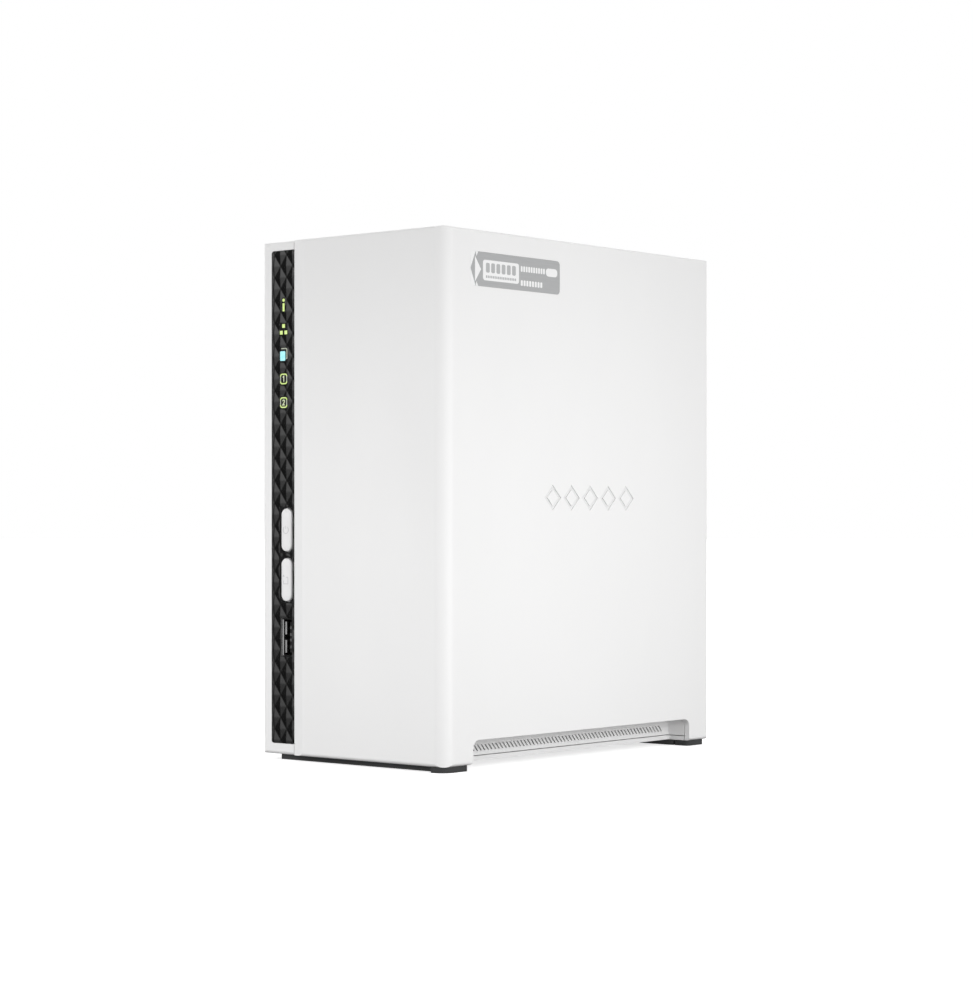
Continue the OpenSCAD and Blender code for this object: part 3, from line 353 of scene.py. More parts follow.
finishes.update({
    "port_steel": metal("port_steel", grey(0.62), 0.28, lambda f: f.noise(2.5, 4, (1, 0.06, 1))),
    "sheet_steel": metal("sheet_steel", grey(0.55), 0.38, lambda f: f.cells(0.25, output="Color"), 0.002),
    "screw_steel": metal("screw_steel", grey(0.58), 0.3, lambda f: f.noise(4.0, 3, (1, 0.2, 1))),
    "contact_gold": metal("contact_gold", (0.83, 0.58, 0.22, 1), 0.22, lambda f: f.noise(3.0, 2)),
    "heatsink_black": metal("heatsink_black", grey(0.035), 0.42, lambda f: f.noise(2.0, 3, (1, 1, 0.05))),
    "drive_cast": metal("drive_cast", grey(0.34), 0.48, lambda f: f.noise(1.6, 5), 0.03),
    "drive_lid": metal("drive_lid", grey(0.6), 0.3, lambda f: f.noise(3.0, 4, (1, 1, 0.04))),
    "platter_silver": metal("platter_silver", grey(0.86), 0.08, lambda f: f.noise(0.4, 2), 0.0005, 0.05),
})

# %% [markdown]
# A motor coil is a bundle of enamelled copper wire, wound round and round: fine ridges that
# run across the axle. A wave texture along the axle draws them.

# %% Copper winding
winding = Finish("coil_copper", Metallic=1.0, Coat_Weight=0.6, Coat_Roughness=0.1)
wires = winding.node("ShaderNodeTexWave", {"bands_direction": "Y", "wave_profile": "SIN"}, {
    "Vector": winding.place, "Scale": 1.1, "Distortion": 1.2, "Detail Scale": 1.0})
winding.put(
    Base_Color=winding.blend(wires, (0.28, 0.07, 0.02, 1), (0.8, 0.33, 0.12, 1)),
    Roughness=winding.spread(wires, 0, 1, 0.5, 0.28),
    Normal=winding.bump(wires, 0.12),
)
finishes["coil_copper"] = winding

# %% [markdown]
# ## Circuit boards
# A board is glass cloth under green resist, with copper tracks that show as lighter lines,
# gold holes where layers join, and small white marks. Tracks run straight, so their pattern
# is a cell pattern measured the city-block way; holes are the centres of another one.

# %% Circuit board
board = Finish("board_green", Coat_Weight=0.5, Coat_Roughness=0.15)
blocks = board.cells(0.35, "F2", "CHEBYCHEV", 0.9) - board.cells(0.35, "F1", "CHEBYCHEV", 0.9)
tracks = board.spread(blocks, 0.05, 0.09, 1.0, 0.0)
holes = board.cells(0.55, randomness=0.8)
ring = (holes < 0.2) * (holes > 0.09)
weave = board.noise(1.8, 2)
resist = board.blend(tracks, (0.008, 0.07, 0.03, 1), (0.03, 0.19, 0.085, 1))
board.put(
    Base_Color=board.blend(ring, resist, (0.72, 0.5, 0.18, 1)),
    Metallic=ring,
    Roughness=board.spread(weave, 0.3, 0.7, 0.4, 0.28),
    Normal=board.bump(tracks + ring + weave * 0.2, 0.035),
)
finishes["board_green"] = board

# %% [markdown]
# ## Lamps and label
# The lamps shine through clear pipes, brightest in the middle. The label is grey foil with a
# faint brushed line.

# %% Lit plastic


def lit(name, colour, edge, strength):
    """A light pipe: the lamp's colour, with soft clouds of the edge colour in it."""
    made = Finish(name, Roughness=0.25, Emission_Strength=strength)
    haze = made.noise(1.4, 2)
    glow = made.blend(made.spread(haze, 0.3, 0.75), colour, edge)
    return made.put(Base_Color=made.blend(haze, grey(0.05), grey(0.09)), Emission_Color=glow,
                    Normal=made.bump(haze, 0.02))


finishes["status_green"] = lit("status_green", (0.62, 0.86, 0.18, 1), (0.8, 0.95, 0.4, 1), 0.95)
finishes["usb_cyan"] = lit("usb_cyan", (0.33, 0.9, 0.98, 1), (0.5, 0.98, 1.0, 1), 0.98)
finishes["outline_grey"] = lit("outline_grey", (0.4, 0.46, 0.3, 1), grey(0.5), 0.85)
finishes["number_pale"] = lit("number_pale", (0.62, 0.74, 0.36, 1), grey(0.66), 0.95)

# %% Smoked pipe and label foil
finishes["drive_lamp"] = moulded("drive_lamp", grey(0.006), 0.3, 3.0, 0.002, 0.3)
foil = Finish("label_grey", Metallic=0.15)
lines = foil.noise(2.0, 3, (1, 0.05, 1))
foil.put(Base_Color=foil.blend(lines, grey(0.39, -0.01), grey(0.44, -0.01)),
         Roughness=foil.spread(lines, 0.3, 0.7, 0.5, 0.36), Normal=foil.bump(lines, 0.004))
finishes["label_grey"] = foil
finishes["print_white"] = moulded("print_white", grey(0.86), 0.5, 4.0, 0.002, 0.03)
# Painted shade: a darker white for the floor of the sunk diamonds on the side.
finishes["sunk_shade_white"] = moulded("sunk_shade_white", grey(0.755), 0.3, 2.0, 0.002, 0.02)
finishes["mark_grey"] = moulded("mark_grey", grey(0.6, -0.01), 0.45, 4.0, 0.002, 0.04)
finishes["print_grey"] = moulded("print_grey", grey(0.46, -0.01), 0.5, 4.0, 0.002, 0.06)

# %% [markdown]
# Every CAD node names the slot its finish comes from, so one loop dresses them all.

# %% Dress the CAD nodes
for part in frame["record"]["subparts"]:
    node = frame["nodes"][part["node"]]
    for slot in node.material_slots:
        slot.material = finishes[part["material_slot"]].material

# %% [markdown]
# ## Making new pieces
# New surfaces are arrays of points. Three makers are enough: a strip along a path for lines
# and outlines, a loft through rings for caps, and a sheet over a grid for relief.

# %% Joining arrays into a piece


def piece(name, shapes, body, slot, finish=None, stands_for=(), angle=None):
    """Joins closed shapes, each (points in mm, faces), into one object that rides on body."""
    points, faces, count = [], [], 0
    for shape_points, shape_faces in shapes:
        points.append(shape_points)
        faces += [[int(i) + count for i in face] for face in shape_faces]
        count += len(shape_points)
    mesh = bpy.data.meshes.new(name)
    mesh.from_pydata(((np.concatenate(points) + ORIGIN) * MM).tolist(), [], faces)
    clean(mesh)
    return placed(name, mesh, body, slot, finish, stands_for, angle)


def clean(mesh):
    """Merges points that coincide and turns every face outwards."""
    work = bmesh.new()
    work.from_mesh(mesh)
    bmesh.ops.remove_doubles(work, verts=work.verts, dist=1e-7)
    bmesh.ops.dissolve_degenerate(work, edges=work.edges, dist=1e-7)
    bmesh.ops.recalc_face_normals(work, faces=work.faces)
    work.to_mesh(mesh)
    work.free()


def placed(name, mesh, body, slot, finish=None, stands_for=(), angle=None):
    """Makes the object for a mesh already in place, gives it its finish and hangs it on body."""
    made = bpy.data.objects.new(name, mesh)
    bpy.context.scene.collection.objects.link(made)
    mesh.materials.clear()
    mesh.materials.append(finishes[finish or slot].material)
    if angle is not None:
        mesh.shade_smooth()
        mesh.set_sharp_from_angle(angle=math.radians(angle))
    if stands_for:
        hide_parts(*stands_for)
    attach(made, body)
    return made


# %% Rings and strips


def quads(rows, cols, wrap):
    """Faces of a grid of rows by cols points; wrap closes each row on itself."""
    r, c = np.meshgrid(np.arange(rows - 1), np.arange(cols if wrap else cols - 1), indexing="ij")
    right = (c + 1) % cols
    here, above = r * cols, (r + 1) * cols
    return np.stack([here + c, here + right, above + right, above + c], -1).reshape(-1, 4)


def rounded(width, height, radius, steps=8):
    """Outline of a rounded rectangle about (0, 0): four quarter circles joined by straights."""
    turn = np.linspace(0, np.pi / 2, steps)
    corner = np.stack([np.cos(turn), np.sin(turn)], 1) * radius
    parts = []
    for quarter in range(4):
        a = quarter * np.pi / 2
        spin = np.array([[np.cos(a), np.sin(a)], [-np.sin(a), np.cos(a)]])
        side = np.array([1 if quarter in (0, 3) else -1, 1 if quarter < 2 else -1])
        parts.append(corner @ spin + side * (np.array([width, height]) / 2 - radius))
    return np.concatenate(parts)


def front(flat, depth):
    """Points drawn in x and z, put at depth y."""
    return np.stack([flat[..., 0], np.broadcast_to(depth, flat.shape[:-1]), flat[..., 1]], -1)


def side(flat, depth):
    """Points drawn in y and z, put at x = depth."""
    return np.stack([np.broadcast_to(depth, flat.shape[:-1]), flat[..., 0], flat[..., 1]], -1)


def slab(outline, near, far, plane=front):
    """Solid between two depths with the same outline."""
    n = len(outline)
    points = np.concatenate([plane(outline, near), plane(outline, far)])
    return points, [*quads(2, n, True), list(range(n)), list(range(2 * n - 1, n - 1, -1))]


def strip(path, width, near, far, plane=front, closed=False):
    """Solid line along a flat path: each point is moved half the width both ways along the
    mitre of its two segments, and the section between two depths is a rectangle."""
    path = np.asarray(path, float)
    ahead = (np.roll(path, -1, 0) - path) if closed else np.diff(path, axis=0, append=path[-1:])
    if not closed:
        ahead[-1] = ahead[-2]
    ahead /= np.linalg.norm(ahead, axis=1, keepdims=True)
    before = np.roll(ahead, 1, 0)
    if not closed:
        before[0] = ahead[0]
    mitre = np.stack([-(ahead + before)[:, 1], (ahead + before)[:, 0]], 1)
    mitre *= width / np.maximum(1e-6, (mitre ** 2).sum(1, keepdims=True))
    left, right = path + mitre, path - mitre
    section = np.stack([plane(left, near), plane(right, near), plane(right, far), plane(left, far)], 1)
    n = len(path)
    if closed:
        section = np.concatenate([section, section[:1]])
        return section.reshape(-1, 3), quads(n + 1, 4, True)
    last = [4 * n - 1, 4 * n - 2, 4 * n - 3, 4 * n - 4]
    return section.reshape(-1, 3), [*quads(n, 4, True), [0, 1, 2, 3], last]


def arc(centre, radius, start, end, steps=20):
    """Points on a circle from one angle to another, in degrees."""
    turn = np.radians(np.linspace(start, end, steps))
    return np.array(centre) + radius * np.stack([np.cos(turn), np.sin(turn)], 1)


# %% [markdown]
# ## The strip's diamonds
# The black strip carries a lattice of flat pyramids, a third of a millimetre high. Each side of a
# pyramid mirrors another part of the room, which is what makes the lattice show. The relief
# is a sheet of heights over a slanted grid whose lines are the lattice's own valleys. A copy
# of the CAD strip, cut by that sheet, keeps its outline and its holes.

# %% Relief heights
STRIP_LOW, STRIP_HIGH = box_mm("front_strip")
HALF_W, HALF_H = 3.07, 4.11
VALLEY = np.array([6.2, 175.6])
RELIEF, RIDGE, RIM = 0.35, 0.02, 0.3
STEPS = 24
FACE_Y = STRIP_LOW[1]
icon_boxes = [box_mm(n) for n in (
    "status_light", "network_light", "usb_light", "drive_1_light", "drive_2_light")]
cap_boxes = [box_mm(n) for n in ("power_button", "copy_button")]


def pyramid(p, q):
    """Height from 0 in the valleys to 1 at the tops: one less twice the larger distance from
    the middle of the cell along either lattice direction, with its ridges rounded off."""
    u, v = np.abs(p % 1 - 0.5), np.abs(q % 1 - 0.5)
    larger = (u + v + np.sqrt((u - v) ** 2 + RIDGE ** 2)) / 2
    edge = np.maximum(u, v)
    larger = larger + (edge - larger) * np.clip(edge * 4 - 1, 0, 1)
    return 1 - 2 * larger


def flattened(x, z, height):
    """Heights with a flat pad half way up round each lamp, a low one round each button, and a
    rim along the left edge. A pad is a rounded rectangle that fades out over a short way."""
    pads = [(low, high, 0.3, 0.5) for low, high in icon_boxes]
    pads += [(low, high, -0.1, 0.25) for low, high in cap_boxes]
    for low, high, grow, level in pads:
        mid, half = (low + high)[[0, 2]] / 2, (high - low)[[0, 2]] / 2 + grow
        away_x = np.maximum(np.abs(x - mid[0]) - half[0], 0)
        away_z = np.maximum(np.abs(z - mid[1]) - half[1], 0)
        away = np.hypot(away_x, away_z)
        height = height + (level - height) * np.clip(1.5 - away / 0.1, 0, 1)
    inside = np.clip((x - STRIP_LOW[0] - RIM) / 0.2, 0, 1)
    return 1 + (height - 1) * inside


# %% Relief sheet
span = int((STRIP_HIGH[2] - STRIP_LOW[2]) / HALF_H / 2) + 4
cells = np.arange(-span * STEPS, 4 * STEPS + 1) / STEPS
p, q = np.meshgrid(cells, -cells, indexing="ij")
x = VALLEY[0] + (p + q) * HALF_W
z = VALLEY[1] + (p - q) * HALF_H
keep_cells = (np.abs(x - 10.7) < 10) & (z > STRIP_LOW[2] - 5) & (z < STRIP_HIGH[2] + 5)
height = flattened(x, z, pyramid(p + 1e-9, q + 1e-9))
sheet_points = np.stack([x, FACE_Y + RELIEF * (1 - height), z], -1).reshape(-1, 3)
sheet_faces = quads(len(cells), len(cells), False)
sheet_faces = sheet_faces[keep_cells.reshape(-1)[sheet_faces].all(1)]
used, renumbered = np.unique(sheet_faces, return_inverse=True)
sheet_points, sheet_faces = sheet_points[used], renumbered.reshape(-1, 4)
print("relief sheet", len(sheet_points), "points")

# %% Cut the strip with the sheet


def merged_copy(node):
    """A copy of a CAD node's mesh whose loose triangles are joined at their shared points."""
    mesh = frame["nodes"][node].data.copy()
    work = bmesh.new()
    work.from_mesh(mesh)
    bmesh.ops.remove_doubles(work, verts=work.verts, dist=1e-7)
    work.to_mesh(mesh)
    work.free()
    return mesh


def solid_behind(points, faces, back):
    """Closes a sheet into a block that reaches back to the depth given."""
    work = bmesh.new()
    made = [work.verts.new(p) for p in (points + ORIGIN) * MM]
    for face in faces:
        work.faces.new([made[i] for i in face])
    rim = [e for e in work.edges if e.is_boundary]
    grown = bmesh.ops.extrude_edge_only(work, edges=rim)["geom"]
    deep = [g for g in grown if isinstance(g, bmesh.types.BMVert)]
    for vert in deep:
        vert.co.y = (back + ORIGIN[1]) * MM
    loose = [e for e in work.edges if e.is_boundary]
    bmesh.ops.contextual_create(work, geom=loose)
    bmesh.ops.recalc_face_normals(work, faces=work.faces)
    mesh = bpy.data.meshes.new("relief_block")
    work.to_mesh(mesh)
    work.free()
    return mesh


def combined(first, second, operation="INTERSECT"):
    """Mesh of what two closed meshes share, or of the first less the second."""
    objects = [bpy.data.objects.new("cut", mesh) for mesh in (first, second)]
    for made in objects:
        bpy.context.scene.collection.objects.link(made)
    cut = objects[0].modifiers.new("cut", "BOOLEAN")
    cut.operation, cut.solver, cut.object = operation, "EXACT", objects[1]
    bpy.context.view_layer.update()
    shown = objects[0].evaluated_get(bpy.context.evaluated_depsgraph_get())
    result = bpy.data.meshes.new_from_object(shown)
    for made in objects:
        bpy.data.objects.remove(made)
    return result


relief_block = solid_behind(sheet_points, sheet_faces, STRIP_HIGH[1] + 1)
relief_mesh = combined(merged_copy("front_strip"), relief_block)
placed("diamond_strip", relief_mesh, "chassis", "strip_black", stands_for=["front_strip"], angle=9)
print("diamond strip", len(relief_mesh.polygons), "faces")

# %% [markdown]
# ## Buttons
# Each push button is a tall white cap with softly rounded edges and a slightly crowned
# front, on a flange that keeps it in. A loft of rounded rectangles gives the cap: every ring
# is the outline drawn in by a little more, and the depth follows a quarter circle at the
# edge and then a shallow arch.

# %% Button caps
CAP_FILLET, CAP_CROWN = 0.55, 0.18
CAP_SIZE = np.array([5.15, 15.6])
CAP_R = 2.3
FLANGE_LIP, CAP_SHIFT = 0.35, 0.15


def loft(rings):
    """Closed solid through rings of equal length, with flat ends."""
    n = len(rings[0])
    last = (len(rings) - 1) * n
    far_end = list(range(last + n - 1, last - 1, -1))
    return np.concatenate(rings), [*quads(len(rings), n, True), list(range(n)), far_end]


def button(name, node, body):
    """Cap: ring k is drawn in by r(1 - cos t) + s, at depth r(1 - sin t) less the crown."""
    low, high = box_mm(node)
    centre = np.array([(low[0] + high[0]) / 2 + FLANGE_LIP - CAP_SHIFT, (low[2] + high[2]) / 2])
    rings = [front(rounded(*CAP_SIZE, CAP_R, 12) + centre, high[1] - 0.9)]
    for t in np.linspace(0, np.pi / 2, 7):
        inset = CAP_FILLET * (1 - math.cos(t))
        depth = low[1] + CAP_CROWN + CAP_FILLET * (1 - math.sin(t))
        rings.append(front(rounded(*(CAP_SIZE - 2 * inset), CAP_R - inset, 12) + centre, depth))
    for share in np.linspace(0, 1, 7)[1:]:
        inset = CAP_FILLET + share * (CAP_SIZE[0] / 2 - CAP_FILLET - 0.25)
        radius = max(0.2, CAP_R - inset)
        depth = low[1] + CAP_CROWN * (1 - share) ** 2
        rings.append(front(rounded(*(CAP_SIZE - 2 * inset), radius, 12) + centre, depth))
    middle = np.array([(low[0] + high[0]) / 2, centre[1]])
    size = np.array([high[0] - low[0], high[2] - low[2]])
    flange = slab(rounded(*size, 2.0, 8) + middle, high[1] - 1.0, high[1])
    piece(name, [loft(rings), flange], body, "button_white", stands_for=[node], angle=35)
    return centre, low[1]


power_at, cap_y = button("power_cap", "power_button", "power_key")
copy_at, _ = button("copy_cap", "copy_button", "copy_key")

# %% [markdown]
# The marks on the caps are pad-printed in pale grey: a broken ring with a bar for power, and
# an arrow over an open tray for copying. Their lines are a quarter of a millimetre wide.

# %% Button marks
MARK_W, MARK_T = 0.26, 0.03
ring = strip(arc(power_at, 1.3, 125, 415, 36), MARK_W, cap_y - 0.005, cap_y + MARK_T)
bar = strip(power_at + np.array([[0, 0.35], [0, 1.55]]), MARK_W, cap_y - 0.005, cap_y + MARK_T)
piece("power_mark", [ring, bar], "power_key", "button_white", "mark_grey")
tray = strip(copy_at + np.array([[0.1, 0.9], [1.1, 0.9], [1.1, -1.5], [-1.1, -1.5], [-1.1, -0.3]]),
             MARK_W, cap_y - 0.005, cap_y + MARK_T)
head = slab(copy_at + np.array([[-1.1, 1.9], [-0.5, 1.1], [-1.7, 1.1]]), cap_y - 0.004, cap_y + MARK_T)
piece("copy_mark", [tray, head], "copy_key", "button_white", "mark_grey")

# %% [markdown]
# ## Lit signs
# The drive lamps light an outline and a number; the copy lamp lights a small card in front
# of a grey one. Each is a thin plate in front of its light pipe.

# %% Lamp signs
SIGN_NEAR, SIGN_FAR = FACE_Y + 0.05, FACE_Y + 0.12
SIGN_SHIFT = np.array([0.12, 0.0])
DIGITS = {
    "drive_1": [[-0.42, 0.6], [0.08, 1.0], [0.08, -1.05]],
    "drive_2": [[-0.52, 0.55], [-0.35, 0.88], [0.05, 0.98], [0.45, 0.78], [0.5, 0.4],
                [0.2, -0.1], [-0.5, -0.9], [0.58, -0.9]],
}


def bent(half_w, half_h, radius, end):
    """Flat U for the top (end = 1) or the bottom of a lamp's outline, with round corners."""
    left = arc([-half_w + radius, half_h - radius], radius, 180, 90, 8)
    right = arc([half_w - radius, half_h - radius], radius, 90, 0, 8)
    return np.concatenate([left, right]) * [1, end]


for lamp, digit in DIGITS.items():
    low, high = box_mm(lamp + "_light")
    middle = (low + high)[[0, 2]] / 2 + SIGN_SHIFT
    bars = [strip(bent(1.56, 1.72, 0.8, end) + middle, 0.44, SIGN_NEAR, SIGN_FAR) for end in (1, -1)]
    posts = []
    for end in (1, -1):
        path = np.array([[end * 1.56, 1.1], [end * 1.56, -1.1]]) + middle
        posts.append(strip(path, 0.42, SIGN_NEAR + 0.01, SIGN_FAR))
    number = strip(np.array(digit) * 0.95 + middle, 0.4, SIGN_NEAR, SIGN_FAR)
    piece(lamp + "_sign", bars, "chassis", "status_green")
    piece(lamp + "_posts", posts, "chassis", "drive_lamp", "outline_grey")
    piece(lamp + "_number", [number], "chassis", "drive_lamp", "number_pale")

low, high = box_mm("usb_light")
middle = (low + high)[[0, 2]] / 2 + SIGN_SHIFT
card_front = slab(rounded(2.6, 3.5, 0.45) + middle + [-0.45, -0.45], SIGN_NEAR, SIGN_FAR)
piece("copy_sign", [card_front], "chassis", "usb_cyan")
corner = arc(middle + [1.05, 1.65], 0.6, 90, 0, 8)
back_end = [middle + [1.65, -1.3], middle + [1.2, -1.5]]
back_line = np.concatenate([[middle + [-1.2, 2.25]], corner, back_end])
back_sign = strip(back_line, 0.42, SIGN_NEAR, SIGN_FAR)
piece("copy_sign_back", [back_sign], "chassis", "drive_lamp", "outline_grey")
for name in ("usb_light", "drive_1_light", "drive_2_light"):
    frame["nodes"][name].material_slots[0].material = finishes["drive_lamp"].material

# %% [markdown]
# ## The front USB socket
# The mouth of the folded shell is flared, so that a plug finds its way in, and two springs
# bulge from its board side to grip the plug. Both catch the light. The strip's own edge laps
# over the other three sides. Four contacts lie on the tongue, and their ends show at its tip.

# %% USB mouth, springs and contacts


def level(flat, height):
    """Points drawn in x and y, put at z = height."""
    return np.stack([flat[..., 0], flat[..., 1], np.broadcast_to(height, flat.shape[:-1])], -1)


def tube(rings):
    """Closed loop of rings: the last one joins the first, as in a picture frame."""
    return np.concatenate([*rings, rings[0]]), quads(len(rings) + 1, len(rings[0]), True)


def flared(low, high, flare, depth, way):
    """Slanted lip of a socket's mouth that narrows by flare over depth; way is 1 at the front."""
    centre, size = (low + high)[[0, 2]] / 2, (high - low)[[0, 2]]
    mouth = low[1] if way > 0 else high[1]
    rings = []
    for inset, y in ((0.02, -0.02), (flare, depth), (flare, depth + 0.4), (0.1, depth + 0.4), (0.02, 0.1)):
        rings.append(front(rounded(*(size - 2 * inset), 0.3, 4) + centre, mouth + way * y))
    return tube(rings)


def springs(low, high, way):
    """Two bowed tabs on the board side: each goes up by sin(pi t) over its run."""
    mouth = low[1] if way > 0 else high[1]
    run = np.linspace(0, 1, 12)
    bow = np.stack([low[0] + 0.45 + 0.4 * np.sin(np.pi * run), mouth + way * (1.7 + 1.0 * run)], 1)
    mid = (low[2] + high[2]) / 2
    return [strip(bow, 0.16, mid + z - 2.3, mid + z + 2.3, plane=level) for z in (-3.35, 3.35)]


def contacts(low, high, tongue_low, way):
    """Four strips on the tongue, bent round its tip."""
    tip = low[1] + 1.95 if way > 0 else high[1] - 1.35
    path = np.array([[tongue_low - 0.12, tip + way * 6], [tongue_low - 0.12, tip + way * 0.25],
                     [tongue_low + 0.2, tip - way * 0.1], [tongue_low + 0.9, tip - way * 0.1]])
    mid = (low[2] + high[2]) / 2
    return [strip(path, 0.14, mid + z - 0.5, mid + z + 0.5, plane=level) for z in (-3.5, -1.0, 1.0, 3.5)]


socket_low, socket_high = box_mm("front_usb_shell")
tongue_x = socket_high[0] - 3.1
lip_x, lip_y = socket_low[0], socket_low[1]
wedge = np.array([[0.03, -0.02], [0.65, 0.6], [0.03, 0.6]]) + [lip_x, lip_y]
front_lip = slab(wedge, socket_low[2] + 0.3, socket_high[2] - 0.3, plane=level)
piece("front_usb_lip", [front_lip], "chassis", "port_steel")
near_left, near_right = socket_low[0] + 0.6, socket_high[0] - 0.12
collar = [[near_left, socket_high[2] - 0.15], [near_right, socket_high[2] - 0.15],
          [near_right, socket_low[2] + 0.15], [near_left, socket_low[2] + 0.15]]
piece("front_usb_collar", [strip(collar, 0.5, lip_y - 0.08, lip_y - 0.01)], "chassis", "strip_black")
piece("front_usb_springs", springs(socket_low, socket_high, 1), "chassis", "port_steel", angle=40)
front_contacts = contacts(socket_low, socket_high, tongue_x, 1)
piece("front_usb_contacts", front_contacts, "chassis", "contact_gold", "port_steel")

# %% The same for the two rear sockets
pair_low, pair_high = box_mm("rear_usb_shells")
tall = socket_high[2] - socket_low[2]
lips, bows, strips = [], [], []
for bottom in (pair_low[2], pair_high[2] - tall):
    low = np.array([pair_low[0], pair_low[1], bottom])
    high = np.array([pair_high[0], pair_high[1], bottom + tall])
    lips.append(flared(low, high, 0.6, 0.6, -1))
    bows += springs(low, high, -1)
    strips += contacts(low, high, tongue_x, -1)
piece("rear_usb_lips", lips, "chassis", "port_steel")
piece("rear_usb_springs", bows, "chassis", "port_steel", angle=40)
piece("rear_usb_contacts", strips, "chassis", "contact_gold")

# %% [markdown]
# ## The ornament's floor and its painted shade
# The diamonds on the side are sunk by 0.4 mm. A band on their floor is a smoother white, made
# darker than the grain around it as painted shade, the shade that falls in the sunk diamonds.

# %% Ornament: painted shade in the sunk diamonds
SUNK_X = box_mm("slide_cover")[1][0] - 0.4
DIAMONDS, ROW_START, ROW_LENGTH, ROW_MIDDLE = 5, 54, 54.6, 95.35
DIAMOND = np.array([ROW_LENGTH / DIAMONDS * 0.44, 9.3 / 2])
LINE = 0.36
SHADE_TOP, SHADE_BOTTOM = SUNK_X + 0.03, SUNK_X - 0.02
tips = np.array([[-1, 0], [0, -1], [1, 0], [0, 1]])
shade_bands = []
for i in range(DIAMONDS):
    centre = np.array([ROW_START + (i + 0.5) * ROW_LENGTH / DIAMONDS, ROW_MIDDLE])
    outer, inner = (tips * (DIAMOND * share) + centre for share in (0.985, 1.015 - LINE))
    rings = ((outer, SHADE_TOP), (inner, SHADE_TOP), (inner, SHADE_BOTTOM), (outer, SHADE_BOTTOM))
    shade_bands.append(tube([side(ring, at) for ring, at in rings]))
# These bands carry painted shade: darker white where shade falls in the sunk diamonds.
piece("ornament_painted_shade", shade_bands, "cover", "shell_white", "sunk_shade_white")

# %% [markdown]
# ## Screw heads
# The screws at the rear have cross recesses, pressed into the head when it is forged. A copy
# of the fan screws has small crosses cut out of it.

# %% Cross recesses


def recessed(name, node, heads, half, depth):
    """CAD screws with crosses cut into their rear ends, at each (x, z, y of the end)."""
    crosses = []
    for head_x, head_z, end in heads:
        for bar in ((0.32, half), (half, 0.32)):
            flat = np.array([[-1, -1], [1, -1], [1, 1], [-1, 1]]) * bar + [head_x, head_z]
            crosses.append(slab(flat, end - depth, end + 0.5))
    cutters = []
    for points, faces in crosses:
        mesh = bpy.data.meshes.new("cross")
        mesh.from_pydata(((points + ORIGIN) * MM).tolist(), [], [list(map(int, f)) for f in faces])
        clean(mesh)
        cutters.append(mesh)
    mesh = merged_copy(node)
    for cutter in cutters:
        mesh = combined(mesh, cutter, "DIFFERENCE")
    placed(name, mesh, "chassis", "screw_steel", stands_for=[node], angle=30)


fan_low, fan_high = box_mm("fan_screws")
inset = 3.6
fan_heads = [(x, z, fan_high[1]) for x in (fan_low[0] + inset, fan_high[0] - inset)
             for z in (fan_low[2] + inset, fan_high[2] - inset)]
recessed("fan_screws_crossed", "fan_screws", fan_heads, 1.9, 1.0)

# %% [markdown]
# ## What the boards carry
# A board like this has electrolytic capacitors, small chips and rows of tiny resistors. They
# stand on the mainboard's right face, clear of the parts that the CAD model has there. Sizes
# follow common packages: cans of 6.3 and 8 mm, flat chips of 5 to 10 mm, and 1.6 mm resistors.

# %% Board parts
FACE_X = box_mm("mainboard")[1][0]
CANS = [(30, 118, 4.0), (40, 118, 4.0), (30, 107, 3.15), (38, 107, 3.15),
        (133, 150, 3.15), (133, 141, 3.15)]
CHIPS = [(24, 88, 10, 10), (44, 86, 6, 8), (58, 145, 9, 5), (72, 150, 7, 7), (108, 150, 10, 5),
         (24, 66, 8, 12), (110, 80, 12, 8), (128, 100, 6, 6)]


def can(y, z, radius):
    """Capacitor: rings up the can, a groove near the foot, and a rounded top."""
    outline = [(1.0, 0), (1.0, 0.9), (0.9, 1.2), (0.9, 1.5), (1.0, 1.8),
               (1.0, 5.6), (0.93, 6.0), (0.8, 6.1)]
    turn = np.linspace(0, 2 * np.pi, 33)[:-1]
    circle = np.stack([np.cos(turn), np.sin(turn)], 1) * radius
    return loft([side(circle * share + [y, z], FACE_X + height) for share, height in outline])


def package(y, z, width, height, thick):
    """Chip: a slab with a drawn-in top edge, on a rounded rectangle."""
    rings = [(0, 0.05), (0, thick * 0.6), (0.15, thick)]
    return loft([side(rounded(width - 2 * draw, height - 2 * draw, 0.3, 3) + [y, z], FACE_X + up)
                 for draw, up in rings])


piece("board_cans", [can(*spot) for spot in CANS], "chassis", "drive_lid", angle=35)
piece("board_chips", [package(*spot, 1.2) for spot in CHIPS], "chassis", "chip_black", angle=35)
legs = [package(y + dy, z + end * (tall_chip / 2 + 0.5), 0.4, 1.2, 0.35)
        for y, z, wide_chip, tall_chip in CHIPS for end in (-1, 1)
        for dy in np.arange(-wide_chip / 2 + 0.8, wide_chip / 2 - 0.5, 1.27)]
piece("board_legs", legs, "chassis", "port_steel", angle=35)
spots = [(20 + 3.4 * i, 132 + 3 * (i % 2)) for i in range(30)] + [(64 + 2.6 * i, 92) for i in range(14)]
spots += [(20 + 2.8 * i, 52) for i in range(24)]
resistors = [package(y, z, 1.6, 0.8, 0.5) for y, z in spots]
piece("board_resistors", resistors, "chassis", "chip_black", angle=35)
print("board parts", len(CANS) + len(CHIPS) + len(spots))

# %% [markdown]
# ## Drive labels
# Each drive's lid carries a paper label below the raised disc. Rows of plain grey blocks
# stand in for what a maker prints on it.

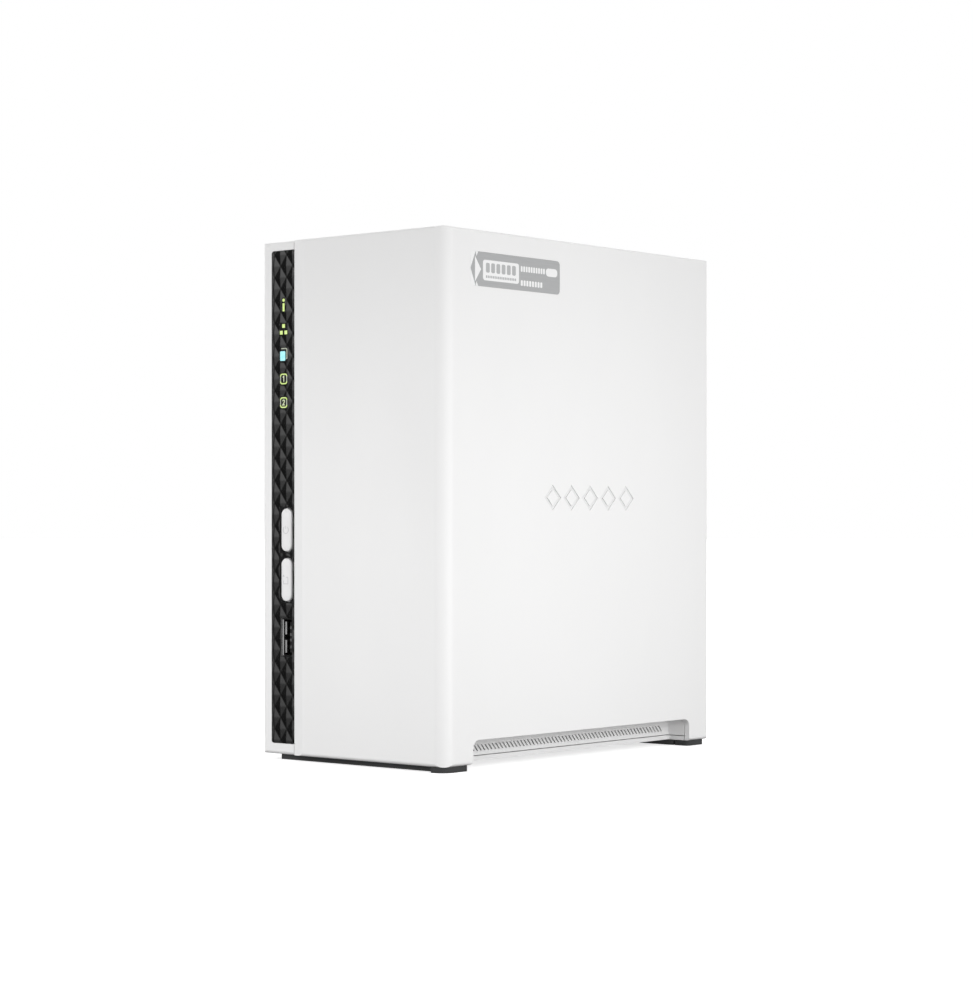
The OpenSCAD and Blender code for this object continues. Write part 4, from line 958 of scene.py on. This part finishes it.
# %% Labels on the drive lids
label_shapes, block_shapes = [], []
for drive in ("drive_1", "drive_2"):
    low, high = box_mm(drive + "_lid")
    plate_x = high[0] - 0.3
    paper_label = rounded(78, 46, 2, 5) + [(low[1] + high[1]) / 2, low[2] + 27]
    label_shapes.append(slab(paper_label, plate_x - 0.01, plate_x + 0.06, plane=side))
    for row in range(7):
        for col in range(10 - row % 3):
            block = rounded(5.0, 2.0, 0.3, 3) + [low[1] + 18 + 6.6 * col, low[2] + 8 + 6.0 * row]
            block_shapes.append(slab(block, plate_x, plate_x + 0.08, plane=side))
piece("drive_labels", label_shapes, "chassis", "drive_lid", "print_white")
piece("drive_label_blocks", block_shapes, "chassis", "drive_lid", "print_grey")

# %% [markdown]
# ## The label
# A label like this states a model and its memory. This one is plain: half a diamond at its
# left end, a white field with rows of grey blocks, and two rows of white blocks beside it.

# %% Label print
L_LOW, L_HIGH = box_mm("spec_label")


def print_slab(outline, layer):
    """Thin print of an outline given in mm from the label's front upper corner."""
    flat = np.asarray(outline) * [1, -1] + [L_LOW[1], L_HIGH[2]]
    return slab(flat, L_HIGH[0] - 0.01, L_HIGH[0] + 0.01 * layer, plane=side)


def field(left, top, width, height, radius, layer=1):
    """Rounded rectangle of print with its upper left corner at (left, top)."""
    return print_slab(rounded(width, height, radius, 5) + [left + width / 2, top + height / 2], layer)


def blocks(left, top, width, height, count, layer=1):
    """Row of plain blocks that stands in for a line of small print."""
    step = width / count
    radius = min(step, height) * 0.2
    return [field(left + i * step, top, step * 0.72, height, radius, layer) for i in range(count)]


triangles = [[[0, 0], [2.6, 0], [0, 5.8]], [[0, 12], [2.6, 12], [0, 6.2]],
             [[2.3, 1.6], [5.6, 6.1], [2.3, 10.6]],
             [[2.7, 0], [4.0, 0], [3.1, 1.7]], [[2.7, 12], [4.0, 12], [3.1, 10.4]]]
white = [print_slab(t, 1) for t in triangles]
white += [field(6.6, 2.6, 19.8, 7.2, 1.0), field(41.6, 3.0, 6.6, 2.9, 1.3)]
white += blocks(27.4, 3.3, 14.0, 2.0, 10) + blocks(27.4, 8.3, 12.6, 2.0, 8)
piece("label_print", white, "cover", "label_grey", "print_white")
piece("label_blocks", blocks(8.2, 3.6, 17.2, 3.4, 6, 2) + blocks(8.2, 8.0, 16.8, 0.9, 18, 2),
      "cover", "label_grey", "print_grey")
